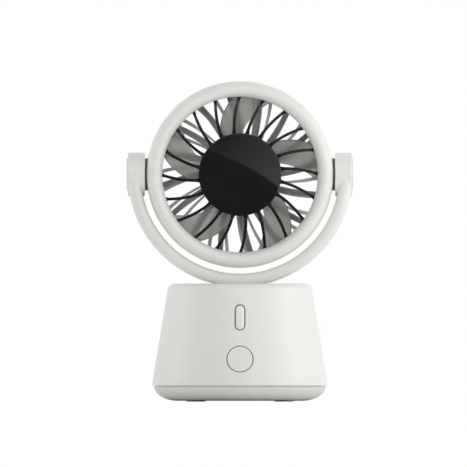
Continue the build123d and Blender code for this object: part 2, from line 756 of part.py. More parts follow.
def impeller():
    wheel = tube(23.5, 22.0, -4.5, 7.5)
    wheel += tube(23.0, SHAFT_RADIUS + 0.02, 6.0, 7.5)
    wheel += tube(20.0, 18.5, -3.0, 6.5)
    rib = Pos(21, 0, 1.5) * Box(3, 1.2, 9)
    for copy in around(rib, 2 * BLADES):
        wheel += copy
    for copy in around(impeller_blade(), BLADES):
        wheel += copy
    return wheel


def impeller_nut():
    return Pos(0, 0, 7.5) * extrude(RegularPolygon(3.2, 6) - Circle(SHAFT_RADIUS + 0.02), 1.5)


def rotor_can():
    return tube(18.4, 17.4, -3.6, 5.9) + tube(18.0, SHAFT_RADIUS + 0.02, 4.9, 5.9)


def rotor_magnet():
    return tube(17.35, 15.9, -3.2, 3.4)


def stator_core():
    """Nine-tooth laminated core pressed on the bearing tube."""
    core = tube(8.0, 5.45, -3.0, 3.0)
    tooth = Pos(10.5, 0, 0) * Box(6.0, 2.6, 6.0)
    for copy in around(tooth, 9):
        core += copy
    shoe = tube(15.3, 13.2, -3.0, 3.0)
    slot = Pos(14.5, 0, 0) * Box(6, 1.6, 8)
    for copy in around(Rot(0, 0, 20) * slot, 9):
        shoe -= copy
    return core + shoe


def stator_windings():
    coil = Pos(10.7, 0, 0) * (Box(4.2, 5.2, 8.4) - Box(5, 2.7, 6.1))
    coil = coil & tube(13.1, 8.1, -5, 5)
    return [solid for copy in around(coil, 9) for solid in copy.solids()]


def motor_board():
    return tube(15.0, 5.5, -5.9, -4.9)


def ball_bearings():
    ring = tube(3.98, 3.2, 0, 3) + tube(3.4, 2.2, 0.4, 2.6) + tube(2.4, SHAFT_RADIUS + 0.03, 0, 3)
    return [Pos(0, 0, 1.0) * ring, Pos(0, 0, -7.2) * ring]


def motor_shaft():
    return disc(SHAFT_RADIUS, -8.6, 9.3)


def shaft_clip():
    clip = tube(3.0, SHAFT_RADIUS + 0.01, -7.9, -7.3)
    return clip - Pos(3, 0, -7.6) * Box(4, 1.8, 2)


# ---- writing the nodes ----
def write_base():
    write("base_shell", base_shell())
    write("base_tray", base_tray())
    write("rubber_feet", rubber_feet())
    write("tray_screws", tray_screws())
    write("battery_cradle", battery_cradle())
    write("battery_cells", battery_cells())
    write("battery_clamp", battery_clamp())
    write("main_board", main_board())
    write("board_parts", board_parts())
    write("board_screws", board_screws())
    write("usb_socket", usb_socket())
    write("key_board", key_board())
    write("key_board_screws", key_board_screws())
    write("tact_switches", tact_switches())
    write("swing_motor", swing_motor())
    write("swing_motor_screws", swing_motor_screws())
    write("glide_washer", glide_washer())


def write_keys():
    write("power_button", power_button())
    write("power_plunger", plunger(0))
    write("swing_key", swing_key())
    write("swing_plunger", plunger(PILL_UP))


def write_yoke():
    whole = yoke_whole()
    write("turntable", turntable())
    write("swing_shaft", swing_shaft())
    write("turntable_retainer", turntable_retainer())
    write("retainer_screws", retainer_screws())
    write("yoke_foot_screws", yoke_foot_screws())
    write("yoke_front_shell", half(whole, 1), HEAD)
    write("yoke_rear_shell", half(whole, -1), HEAD)
    write("yoke_screws", yoke_screws(), HEAD)
    for name, piece in zip(("right_pivot_cap", "left_pivot_cap"), both_sides(pivot_cap())):
        write(name, piece, HEAD)
    write("pivot_bushings", both_sides(bushing()), HEAD)


def write_head():
    write("front_ring", front_ring(), HEAD)
    write("head_shell", head_shell(), HEAD)
    write("ring_screws", ring_screws(), HEAD)
    write("front_guard", front_guard(), HEAD)
    write("hub_cap", hub_cap(), HEAD)
    write("rear_grille", rear_grille(), HEAD)
    write("rear_cap", rear_cap(), HEAD)
    write("air_duct", air_duct(), HEAD)
    write("motor_mount", motor_mount(), HEAD)
    write("stator_core", stator_core(), HEAD)
    write("stator_windings", stator_windings(), HEAD)
    write("motor_board", motor_board(), HEAD)
    write("ball_bearings", ball_bearings(), HEAD)
    for name, piece in zip(("right_tilt_axle", "left_tilt_axle"), both_sides(tilt_axle())):
        write(name, piece, HEAD)
    for name, piece in zip(("right_collar", "left_collar"), both_sides(collar())):
        write(name, piece, HEAD)
    write("axle_nuts", both_sides(axle_nut()), HEAD)
    write("friction_washers", both_sides(friction_washer()), HEAD)


def write_fan():
    write("impeller", impeller(), HEAD)
    write("impeller_nut", impeller_nut(), HEAD)
    write("rotor_can", rotor_can(), HEAD)
    write("rotor_magnet", rotor_magnet(), HEAD)
    write("motor_shaft", motor_shaft(), HEAD)
    write("shaft_clip", shaft_clip(), HEAD)


os.makedirs("parts", exist_ok=True)
write_base()
write_keys()
write_yoke()
write_head()
write_fan()
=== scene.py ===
import json
import math

import bpy
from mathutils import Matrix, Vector


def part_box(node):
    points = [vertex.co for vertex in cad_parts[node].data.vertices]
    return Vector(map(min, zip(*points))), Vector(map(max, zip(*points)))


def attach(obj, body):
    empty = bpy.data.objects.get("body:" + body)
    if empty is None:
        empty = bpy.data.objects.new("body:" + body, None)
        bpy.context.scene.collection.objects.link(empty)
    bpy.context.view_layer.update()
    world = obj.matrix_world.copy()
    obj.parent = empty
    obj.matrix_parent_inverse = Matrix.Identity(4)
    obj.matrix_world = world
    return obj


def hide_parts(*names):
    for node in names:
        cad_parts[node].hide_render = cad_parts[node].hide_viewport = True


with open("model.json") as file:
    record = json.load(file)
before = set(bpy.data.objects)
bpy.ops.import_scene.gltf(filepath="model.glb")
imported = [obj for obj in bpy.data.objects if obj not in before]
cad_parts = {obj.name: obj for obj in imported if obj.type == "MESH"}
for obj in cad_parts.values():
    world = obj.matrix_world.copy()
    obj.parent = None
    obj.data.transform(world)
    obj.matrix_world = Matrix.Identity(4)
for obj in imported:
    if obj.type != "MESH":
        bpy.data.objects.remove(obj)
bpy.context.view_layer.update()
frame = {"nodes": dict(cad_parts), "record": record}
nodes = frame["nodes"]
bpy.ops.object.select_all(action="DESELECT")

# ---- sizes read from the frame, in metres ----
MM = 0.001
ring_low, ring_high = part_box("front_ring")
shell_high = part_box("base_shell")[1]
tray_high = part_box("base_tray")[1]
cap_low, cap_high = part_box("hub_cap")
yoke_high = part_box("yoke_front_shell")[1]
TILT_Z = (ring_low[2] + ring_high[2]) / 2
RING = ring_high[0] / MM              # outer radius of the head
HUB = (cap_high[0] - cap_low[0]) / 2 / MM
FACE_F = -cap_low[1] / MM             # front of the hub cap, forward of the tilt axis
BASE_TOP = shell_high[2] / MM
BASE_RADIUS = shell_high[0] / MM
TRAY_RADIUS = tray_high[0] / MM
SPIGOT_TOP = tray_high[2] / MM
YOKE_OUT = yoke_high[0] / MM
CAP_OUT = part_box("right_pivot_cap")[1][0] / MM
DISC_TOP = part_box("turntable")[1][2] / MM

# ---- sizes of the finished surfaces, in millimetres ----
TAPER = 0.164                         # radius the cone loses per millimetre of height
SLOPE = math.degrees(math.atan(TAPER))
TOP_ROUND = 4.7                       # rounding of the base's shoulder
TRAY_RIM = 9.35                       # top of the dish
SEAM_TOP = TRAY_RIM + 0.15            # lower edge of the shell, above the seam
TRAY_ROUND = 14.3                     # how far in the dish's rounding reaches
FOOT = 0.5                            # how far the feet lift the dish
DUCT = 46.6                           # radius of the round opening
LIP_ROUND = (RING - DUCT) / 2
LIP_F = 9.0                           # where the front ring's lip starts, forward of the tilt axis
LIP_DEPTH = 7.0                       # how far the lip stands forward
SKIN = 1.4                            # wall of the front ring
PART_F = 7.0                          # parting line between front ring and barrel
REAR_F = -5.0                         # where the barrel's back starts to round
REAR_ROUND = 8.5
YOKE_THICK = 3.9                      # half the band's thickness and depth
YOKE_DEPTH = 13.1
YOKE_CORNER = 3.8                     # rounding of the band's long edges
YOKE_MID = YOKE_OUT - YOKE_THICK
PIVOT_IN = 57.1                       # inner face of the yoke's hubs
BUTTON_Z = 25.6                       # heights of the round key and of the pill key
PILL_Z = 50.6
BUTTON = 7.6                          # radius of the round key
PILL_WIDE = 5.4
PILL_LONG = 15.0
KEY_REACH = -3.9                      # inner end of both keys, from the wall
GROOVE = 0.5                          # gap round the keys
STACK_OUT = 48.8                      # radii of the rings clamped in the head
STACK_IN = 47.6
BLADE_ROOT = 23.2
BLADE_TIP = 46.9
FIN_WIDE = 1.85
SPOKE_ROOT = 1.05                     # width of a rear spoke at pod and rim
SPOKE_TIP = 2.45


def cone(height):
    """Outer radius of the conical shell at a height."""
    return BASE_RADIUS - TAPER * (height - SEAM_TOP)


# ---- the camera, square on to the front ----
def set_camera():
    bpy.ops.object.camera_add(location=(-0.0039, -1.2, 0.1009), rotation=(math.radians(90), 0, 0))
    camera = bpy.context.object
    camera.name = "front_camera"
    camera.data.type = "ORTHO"
    camera.data.ortho_scale = 0.2802
    camera.data.clip_end = 20
    bpy.context.scene.camera = camera


# ---- the studio: pale floor, soft lamps, and cards that only the gloss sees ----
AMBIENT_FRONT = 0.22
AMBIENT_BEHIND = 1.05
LAMPS_AIM = (0, 0, 0.1)


def soft_lamp(name, place, size, power):
    bpy.ops.object.light_add(type="AREA", location=place)
    lamp = bpy.context.object
    lamp.name = name
    lamp.data.shape = "RECTANGLE"
    lamp.data.size = size[0]
    lamp.data.size_y = size[1]
    lamp.data.energy = power
    lamp.rotation_euler = (Vector(LAMPS_AIM) - Vector(place)).to_track_quat("-Z", "Y").to_euler()


def mapped(tree, value, start, stop, low, high):
    """Maps a run of a value, from start to stop, to a range from low to high."""
    stage = tree.nodes.new("ShaderNodeMapRange")
    stage.inputs["From Min"].default_value = start
    stage.inputs["From Max"].default_value = stop
    stage.inputs["To Min"].default_value = low
    stage.inputs["To Max"].default_value = high
    tree.links.new(value, stage.inputs["Value"])
    return stage.outputs["Result"]


def larger(tree, first, second):
    most = tree.nodes.new("ShaderNodeMath")
    most.operation = "MAXIMUM"
    tree.links.new(first, most.inputs[0])
    tree.links.new(second, most.inputs[1])
    return most.outputs[0]


def pale_world():
    """White where it is seen, mirrored or seen through, and a soft ambient light for the rest."""
    world = bpy.data.worlds.new("studio")
    bpy.context.scene.world = world
    world.use_nodes = True
    tree = world.node_tree
    tree.nodes.clear()
    path = tree.nodes.new("ShaderNodeLightPath")
    seen = larger(tree, path.outputs["Is Camera Ray"], path.outputs["Is Transmission Ray"])
    seen = larger(tree, seen, path.outputs["Is Glossy Ray"])
    ambient = tree.nodes.new("ShaderNodeBackground")
    ambient.inputs["Color"].default_value = (0.97, 0.985, 1.0, 1)
    ways = tree.nodes.new("ShaderNodeTexCoord")
    parts = tree.nodes.new("ShaderNodeSeparateXYZ")
    tree.links.new(ways.outputs["Generated"], parts.inputs["Vector"])
    level = mapped(tree, parts.outputs["Y"], -1, 1, AMBIENT_FRONT, AMBIENT_BEHIND)
    tree.links.new(level, ambient.inputs["Strength"])
    white = tree.nodes.new("ShaderNodeBackground")
    white.inputs["Color"].default_value = (1, 1, 1, 1)
    white.inputs["Strength"].default_value = 1.0
    mix = tree.nodes.new("ShaderNodeMixShader")
    tree.links.new(seen, mix.inputs[0])
    tree.links.new(ambient.outputs[0], mix.inputs[1])
    tree.links.new(white.outputs[0], mix.inputs[2])
    out = tree.nodes.new("ShaderNodeOutputWorld")
    tree.links.new(mix.outputs[0], out.inputs[0])


def studio():
    scene = bpy.context.scene
    scene.view_settings.view_transform = "Standard"
    pale_world()
    soft_lamp("key_lamp", (0.6, -0.18, 0.32), (0.6, 0.5), 1.6)
    soft_lamp("front_lamp", (-0.1, -1.1, 0.6), (0.8, 0.8), 3.4)
    soft_lamp("rim_lamp", (-0.9, 0.15, 0.25), (0.25, 0.6), 0.9)
    bpy.ops.mesh.primitive_plane_add(size=6, location=(0, 0, 0))
    floor = bpy.context.object
    floor.name = "floor"
    floor.data.materials.append(fresh_paint("floor_paint", (0.92, 0.92, 0.91), 0.7)[0])


# ---- hand moves shared by the pieces ----
def edit():
    bpy.ops.object.mode_set(mode="EDIT")


def done():
    bpy.ops.object.mode_set(mode="OBJECT")


def pick_all():
    bpy.ops.mesh.select_all(action="SELECT")


def settle():
    """Takes an object's place, turn and scale into its mesh."""
    bpy.ops.object.transform_apply(location=True, rotation=True, scale=True)


def nothing_selected():
    if bpy.context.object and bpy.context.object.mode != "OBJECT":
        done()
    bpy.ops.object.select_all(action="DESELECT")


def arc(centre, radius, start, stop, steps):
    """Points on an arc; the angle is 0 outwards and 90 upwards."""
    points = []
    for k in range(steps + 1):
        angle = math.radians(start + (stop - start) * k / steps)
        points.append((centre[0] + radius * math.cos(angle), centre[1] + radius * math.sin(angle)))
    return points


def straight(first, last, steps):
    """Points between two ends, without the ends."""
    return [tuple(a + (b - a) * k / steps for a, b in zip(first, last)) for k in range(1, steps)]


def turned(name, outline, closed=True, around=160):
    """Turned piece about Z: a circle is drawn, then pulled from ring to ring of (radius, height)."""
    nothing_selected()
    radius, height = outline[0]
    bpy.ops.mesh.primitive_circle_add(vertices=around, radius=radius * MM, location=(0, 0, height * MM))
    piece = bpy.context.object
    piece.name = name
    edit()
    pick_all()
    if not closed:
        bpy.ops.mesh.edge_face_add()
        bpy.ops.mesh.select_all(action="DESELECT")
        done()
        for edge in piece.data.edges:
            edge.select = True
        edit()
        bpy.ops.mesh.select_mode(type="EDGE")
    for r, z in outline[1:] + outline[:1] * closed:
        bpy.ops.mesh.extrude_edges_move(TRANSFORM_OT_translate={"value": (0, 0, (z - height) * MM)})
        bpy.ops.transform.resize(value=(r / radius, r / radius, 1), center_override=(0, 0, z * MM))
        radius, height = r, z
    if not closed:
        bpy.ops.mesh.edge_face_add()
    pick_all()
    bpy.ops.mesh.remove_doubles(threshold=1e-6)
    bpy.ops.mesh.normals_make_consistent(inside=False)
    done()
    settle()
    return piece


def only(piece):
    nothing_selected()
    piece.select_set(True)
    bpy.context.view_layer.objects.active = piece


def put(piece, place=(0, 0, 0), turn=(0, 0, 0)):
    """Moves and turns a finished piece, and leaves its object at the origin, unturned."""
    only(piece)
    piece.rotation_euler = tuple(math.radians(a) for a in turn)
    piece.location = place
    settle()
    return piece


def to_head(piece):
    """From its own drawing, with the fan blowing up +Z, to its place in the head."""
    return put(piece, (0, 0, TILT_Z), (90, 0, 0))


def to_wall(piece, height):
    """From flat drawing to the sloping front wall of the base, centred at a height."""
    return put(piece, (0, -cone(height) * MM, height * MM), (90 - SLOPE, 0, 0))


def copy_of(piece, name):
    twin = piece.copy()
    twin.data = piece.data.copy()
    twin.name = name
    bpy.context.collection.objects.link(twin)
    return twin


def around_axis(piece, count, name):
    """Copies a piece round the Z axis, clockwise seen from above, and joins the copies."""
    copies = [piece]
    for k in range(1, count):
        twin = copy_of(piece, f"{name}_{k}")
        put(twin, (0, 0, 0), (0, 0, -360 / count * k))
        copies.append(twin)
    return joined(copies, name)


def joined(pieces, name):
    nothing_selected()
    for piece in pieces:
        piece.select_set(True)
    bpy.context.view_layer.objects.active = pieces[0]
    bpy.ops.object.join()
    pieces[0].name = name
    return pieces[0]


def mirrored(piece, name):
    """The same piece on the other side of the middle."""
    twin = copy_of(piece, name)
    only(twin)
    twin.scale = (-1, 1, 1)
    settle()
    edit()
    pick_all()
    bpy.ops.mesh.normals_make_consistent(inside=False)
    done()
    return smooth(twin)


def carve(piece, tool, operation="DIFFERENCE"):
    """Cuts, joins or crosses a piece with a tool, which is used up."""
    only(piece)
    cut = piece.modifiers.new("carve", "BOOLEAN")
    cut.operation = operation
    cut.object = tool
    cut.solver = "EXACT"
    bpy.ops.object.modifier_apply(modifier=cut.name)
    bpy.data.objects.remove(tool)


def soften(piece, width, segments, angle):
    """Rounds the edges that turn by more than an angle."""
    only(piece)
    edge = piece.modifiers.new("soft_edge", "BEVEL")
    edge.width = width * MM
    edge.segments = segments
    edge.limit_method = "ANGLE"
    edge.angle_limit = math.radians(angle)
    edge.harden_normals = False
    bpy.ops.object.modifier_apply(modifier=edge.name)
    return piece


def smooth(piece, angle=32):
    """Smooth shading that keeps wide flat faces flat up to their softened edges."""
    only(piece)
    bpy.ops.object.shade_smooth_by_angle(angle=math.radians(angle))
    even = piece.modifiers.new("even_shading", "WEIGHTED_NORMAL")
    even.keep_sharp = True
    bpy.ops.object.modifier_apply(modifier=even.name)
    return piece


def round_bar(name, radius, low, high, around=64):
    """Plain cylinder along Z, used as a blank or a cutter."""
    nothing_selected()
    bpy.ops.mesh.primitive_cylinder_add(
        vertices=around, radius=radius * MM, depth=(high - low) * MM,
        location=(0, 0, (high + low) / 2 * MM))
    piece = bpy.context.object
    piece.name = name
    settle()
    return piece


def finish_piece(piece, body, paint, node):
    """Paint, body and the node that one finished piece stands for."""
    piece.data.materials.clear()
    piece.data.materials.append(paint)
    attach(piece, body)
    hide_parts(node)


# ---- picking and shaping in edit mode ----
def nothing_picked(piece, kind):
    """Clears the choice of points, edges and faces, and leaves edit mode for picking in code."""
    only(piece)
    edit()
    bpy.ops.mesh.select_mode(type=kind)
    bpy.ops.mesh.select_all(action="DESELECT")
    done()


def pick_points(piece, chosen):
    """Opens edit mode with only the points picked whose place the test accepts."""
    nothing_picked(piece, "VERT")
    for vertex, picked in zip(piece.data.vertices, [chosen(v.co) for v in piece.data.vertices]):
        vertex.select = picked
    edit()


def pick_faces(piece, chosen):
    """Opens edit mode with only the faces picked whose centre and normal the test accepts."""
    nothing_picked(piece, "FACE")
    for face in piece.data.polygons:
        face.select = chosen(face.center, face.normal)
    edit()


def pick_edges(piece, chosen):
    """Opens edit mode with only the edges picked whose two ends the test accepts."""
    nothing_picked(piece, "EDGE")
    points = piece.data.vertices
    for edge in piece.data.edges:
        edge.select = chosen(points[edge.vertices[0]].co, points[edge.vertices[1]].co)
    edit()


def faces_outwards(piece):
    only(piece)
    edit()
    pick_all()
    bpy.ops.mesh.remove_doubles(threshold=1e-6)
    bpy.ops.mesh.normals_make_consistent(inside=False)
    done()
    return piece


def drill(piece, name, radius, low, high, place, around=32, operation="DIFFERENCE"):
    """Round hole or, with UNION, boss along Z at a place (x, y)."""
    bar = round_bar(name, radius, low, high, around)
    carve(piece, put(bar, (place[0] * MM, place[1] * MM, 0)), operation)


def clamped_ring(name, front, rear):
    """One ring of the stack that the front ring clamps in the head."""
    outline = [(STACK_OUT, front), (STACK_IN, front), (STACK_IN, rear), (STACK_OUT, rear)]
    return turned(name, outline, around=192)


def rounded_block(name, wide, high, deep, corner):
    """Block centred at the origin with the four edges along its depth rounded."""
    nothing_selected()
    bpy.ops.mesh.primitive_cube_add(size=1, scale=(wide * MM, high * MM, deep * MM))
    block = bpy.context.object
    block.name = name
    settle()
    pick_edges(block, lambda a, b: abs(a.z - b.z) > deep * MM / 2)
    bpy.ops.mesh.bevel(offset=corner * MM, segments=8)
    done()
    return block


def drawn_out(name, stations):
    """Straight bar along +Y: a small plane is pulled from station to station.

    A station is (reach, low, high, wide): its distance from the hub's axis, its rear and front
    edge, and its width.
    """
    nothing_selected()
    reach, low, high, wide = stations[0]
    bpy.ops.mesh.primitive_plane_add(
        size=1, location=(0, reach * MM, (low + high) / 2 * MM), rotation=(math.radians(90), 0, 0))
    bar = bpy.context.object
    bar.name = name
    bar.scale = (wide * MM, (high - low) * MM, 1)
    settle()
    edit()
    pick_all()
    for new_reach, new_low, new_high, new_wide in stations[1:]:
        centre = (0, new_reach * MM, (new_low + new_high) / 2 * MM)
        step = (0, (new_reach - reach) * MM, (new_low + new_high - low - high) / 2 * MM)
        bpy.ops.mesh.extrude_region_move(TRANSFORM_OT_translate={"value": step})
        bpy.ops.transform.resize(
            value=(new_wide / wide, 1, (new_high - new_low) / (high - low)), center_override=centre)
        reach, low, high, wide = new_reach, new_low, new_high, new_wide
    done()
    return faces_outwards(bar)


def by_rows(piece, measure, shape_row):
    """Picks the points row by row, as measured at the start, and hands each row to a hand move."""
    marks = [round(measure(v.co) / MM, 2) for v in piece.data.vertices]
    for mark in sorted(set(marks)):
        nothing_picked(piece, "VERT")
        for vertex, own in zip(piece.data.vertices, marks):
            vertex.select = own == mark
        edit()
        shape_row(mark)
        done()


def turn_row(angle, axis="Z", centre=(0, 0, 0)):
    """Turns what is picked; about Z a positive angle is clockwise seen from above."""
    bpy.ops.transform.rotate(value=math.radians(angle), orient_axis=axis, center_override=centre)


def swept_round(piece, turn_at):
    """Turns each ring of points about the hub's axis by the clockwise angle that its radius asks for."""
    by_rows(piece, lambda co: math.hypot(co.x, co.y), lambda radius: turn_row(turn_at(radius)))


def flat_sheet(name, start, reach, wide, across, along):
    """Flat grid along +Y, ready to be fanned out or twisted row by row."""
    nothing_selected()
    bpy.ops.mesh.primitive_grid_add(
        x_subdivisions=across, y_subdivisions=along, size=1, location=(0, (start + reach) / 2 * MM, 0))
    sheet = bpy.context.object
    sheet.name = name
    sheet.scale = (wide * MM, (reach - start) * MM, 1)
    settle()
    return sheet


def thickened(sheet, thick):
    only(sheet)
    wall = sheet.modifiers.new("wall", "SOLIDIFY")
    wall.thickness = thick * MM
    wall.offset = 0
    wall.use_even_offset = True
    bpy.ops.object.modifier_apply(modifier=wall.name)
    return sheet


# ---- base ----
SEAT = 30.3                           # radius of the turntable's seat
SEAT_FLOOR = 67.4
PLATE_UNDER = 64.9
PLATE_EDGE = 33.0                     # plate under the seat, and the bore for the turntable's hub
PLATE_BORE = 9.6
ROOF = 68.5                           # underside of the top
SHELL_WALL = 2.2
SPIGOT_OUT = 49.8                     # rim of the dish that plugs into the shell
SPIGOT_IN = 48.0
SCREW_WELLS = [(22, -32), (-22, -32), (24, 35), (-24, 35)]
FEET = [(26.5, 20), (-26.5, 20), (26.5, -20), (-26.5, -20)]
PORT_Z = 30.2
PORT_WIDE = 12.4
PORT_HIGH = 6.6
PORT_CORNER = 2.0


def shell_outline():
    """Section of the conical shell: outside, rounded top, seat of the turntable, inside."""
    slant = 1 / math.cos(math.radians(SLOPE))
    edge = 0.35
    foot_centre = (cone(SEAM_TOP + edge) - edge * slant, SEAM_TOP + edge)
    top_centre = (cone(BASE_TOP - TOP_ROUND) - TOP_ROUND * slant, BASE_TOP - TOP_ROUND)
    points = arc(foot_centre, edge, -90, SLOPE, 4)
    rounding = arc(top_centre, TOP_ROUND, SLOPE, 90, 12)
    points += straight(points[-1], rounding[0], 24)
    points += rounding
    points += arc((SEAT + edge, BASE_TOP - edge), edge, 90, 180, 4)
    points += [(SEAT, SEAT_FLOOR), (PLATE_BORE, SEAT_FLOOR), (PLATE_BORE, PLATE_UNDER)]
    points += [(PLATE_EDGE, PLATE_UNDER), (PLATE_EDGE, ROOF)]
    points += [(cone(ROOF) - 2.6, ROOF), (cone(SEAM_TOP) - SHELL_WALL, SEAM_TOP)]
    return points


def pill_blank(name, wide, long, low, high):
    """Upright pill: a round blank whose upper and lower halves are drawn apart."""
    blank = round_bar(name, wide / 2, low, high)
    put(blank, turn=(0, 0, 180 / 64))
    for half in (1, -1):
        pick_points(blank, lambda co, side=half: co.y * side > 0)
        bpy.ops.transform.translate(value=(0, half * (long - wide) / 2 * MM, 0))
        done()
    return blank


def base_shell():
    shell = turned("conical_shell", shell_outline(), around=192)
    carve(shell, to_wall(round_bar("key_hole", BUTTON + GROOVE, -8, 4, around=96), BUTTON_Z))
    slot = pill_blank("slot", PILL_WIDE + 2 * GROOVE, PILL_LONG + 2 * GROOVE, -8, 4)
    carve(shell, to_wall(slot, PILL_Z))
    ease_key_holes(shell)
    port = rounded_block("port", PORT_WIDE, PORT_HIGH, 12, PORT_CORNER)
    carve(shell, put(port, (0, 50 * MM, PORT_Z * MM), (90, 0, 0)))
    floor = rounded_block("port_floor", 14.0, 8.2, 2.2, 2.8)
    step = rounded_block("step", PORT_WIDE, PORT_HIGH, 2.0, PORT_CORNER)
    carve(floor, put(step, (0, 0, -1.1 * MM)))
    carve(floor, rounded_block("slot", 9.4, 3.6, 4.0, 1.7))
    put(floor, (0, 46.65 * MM, PORT_Z * MM), (90, 0, 0))
    return smooth(joined([shell, floor], "conical_shell"))


def on_wall(point, height):
    """A point's place across, up and out of the sloping front wall, in millimetres."""
    lean = math.radians(SLOPE)
    up = point.z / MM - height
    out = -point.y / MM - cone(height)
    along = up * math.cos(lean) - out * math.sin(lean)
    return (point.x / MM, along, up * math.sin(lean) + out * math.cos(lean))


def ease_key_holes(shell):
    """Breaks the outer edges of both key holes."""

    def rim_of(point, height, half_wide, half_straight):
        across, up, out = on_wall(point, height)
        beyond = max(0, abs(up) - half_straight)
        return abs(math.hypot(across, beyond) - half_wide) < 0.03 and out > -1.2

    holes = [(BUTTON_Z, BUTTON + GROOVE, 0)]
    holes.append((PILL_Z, PILL_WIDE / 2 + GROOVE, (PILL_LONG - PILL_WIDE) / 2))
    for hole in holes:
        pick_edges(shell, lambda a, b, size=hole: rim_of(a, *size) and rim_of(b, *size))
        bpy.ops.mesh.bevel(offset=0.16 * MM, segments=2)
        done()


def dish_rounding():
    """Outer curve of the dish, flatter than a circle."""
    squeeze = (TRAY_RIM - FOOT) / TRAY_ROUND
    circle = arc((TRAY_RADIUS - TRAY_ROUND, TRAY_RIM), TRAY_ROUND, -90, -3, 28)
    return [(radius, TRAY_RIM - (TRAY_RIM - height) * squeeze) for radius, height in circle]


def bottom_dish():
    """Rounded dish with its screw wells and the beds of the feet."""
    outline = [(8.0, FOOT), (24.0, FOOT), (TRAY_RADIUS - TRAY_ROUND - 4, FOOT)]
    outline += dish_rounding()
    outline += arc((TRAY_RADIUS - 0.3, TRAY_RIM - 0.3), 0.3, 0, 90, 3)
    outline += [(SPIGOT_OUT, TRAY_RIM), (SPIGOT_OUT, SPIGOT_TOP), (SPIGOT_IN, SPIGOT_TOP), (SPIGOT_IN, 8.7)]
    outline += arc((SPIGOT_IN - 6.0, 8.7), 6.0, 0, -90, 6)[1:]
    outline += [(24.0, 2.7), (8.0, 2.7)]
    dish = turned("bottom_dish", outline, closed=False, around=192)
    for place in SCREW_WELLS:
        drill(dish, "well", 2.9, -1, 2.2, place, around=40)
        drill(dish, "through", 1.6, -1, 9, place)
    for place in FEET:
        drill(dish, "bed", 6.0, -1, 1.3, place, around=48)
    return smooth(dish)


def soft_feet():
    """Four soft pads with a slightly sunk middle."""
    outline = [(1.5, 0.22), (4.2, 0.2), (4.6, 0.0), (5.45, 0.0)]
    outline += arc((5.45, 0.45), 0.45, -90, 0, 4)[1:]
    outline += [(5.9, 1.28)]
    pads = []
    for k, (x, y) in enumerate(FEET):
        pad = turned(f"pad_{k}", outline, closed=False, around=48)
        pads.append(put(pad, (x * MM, y * MM, 0)))
    return smooth(joined(pads, "soft_feet"))


def round_key():
    """Round key: a bar cut to the cone's own curve, with a softened edge."""
    key = to_wall(round_bar("round_key", BUTTON, KEY_REACH, 3, around=96), BUTTON_Z)
    foot = (cone(SEAM_TOP), SEAM_TOP)
    top = (cone(BASE_TOP), BASE_TOP)
    outline = [(20.0, SEAM_TOP), foot, *straight(foot, top, 24), top, (20.0, BASE_TOP)]
    carve(key, turned("cone_face", outline, around=192), "INTERSECT")
    return smooth(soften(key, 0.12, 2, 50))


def pill_key():
    """Upright key whose face is pillowed and stands a little proud."""
    key = pill_blank("pill_key", PILL_WIDE, PILL_LONG, KEY_REACH, 0.88)
    pick_faces(key, lambda centre, normal: normal.z > 0.9)
    bpy.ops.mesh.bevel(offset=1.9 * MM, segments=12, profile=0.5)
    done()
    return smooth(to_wall(key, PILL_Z), 40)


def turn_disc(yoke):
    """Turntable top, flush in its seat, with a saddle cut to the yoke."""
    outline = [(4.0, DISC_TOP), (20.0, DISC_TOP)]
    outline += arc((30.0 - 0.4, DISC_TOP - 0.4), 0.4, 90, 0, 4)
    outline += [(30.0, 67.95), (9.5, 67.95), (9.5, 64.7), (4.0, 64.7)]
    disc = turned("turn_disc", outline, closed=False, around=160)
    carve(disc, copy_of(yoke, "saddle"))
    return smooth(disc)


# ---- yoke ----
YOKE_SCREWS = (205, 240, 300, 335)    # anticlockwise from the right
POCKET = 10.0                         # seat of the pivot cap
POCKET_FLOOR = 64.9
BUSHING = 6.0
NUT_ROOM = 9.5                        # room for the axle nut and its washer
NUT_FLOOR = 60.1
CAP = 9.9                             # radius of the pivot caps, and of the dark collars
COLLAR = 9.7


def pivot_outline():
    edge = 0.8
    points = [(4.2, PIVOT_IN)]
    points += arc((YOKE_DEPTH - edge, PIVOT_IN + edge), edge, -90, 0, 5)
    points += arc((YOKE_DEPTH - edge, YOKE_OUT - edge), edge, 0, 90, 5)
    points += [(4.2, YOKE_OUT)]
    return points


def pocket_outline():
    """Stepped bore: the bushing, then the axle nut and its washer, then the cap."""
    points = [(BUSHING, PIVOT_IN - 1), (BUSHING, NUT_FLOOR), (NUT_ROOM, NUT_FLOOR)]
    points += [(NUT_ROOM, POCKET_FLOOR), (POCKET, POCKET_FLOOR), (POCKET, YOKE_OUT + 1)]
    return points


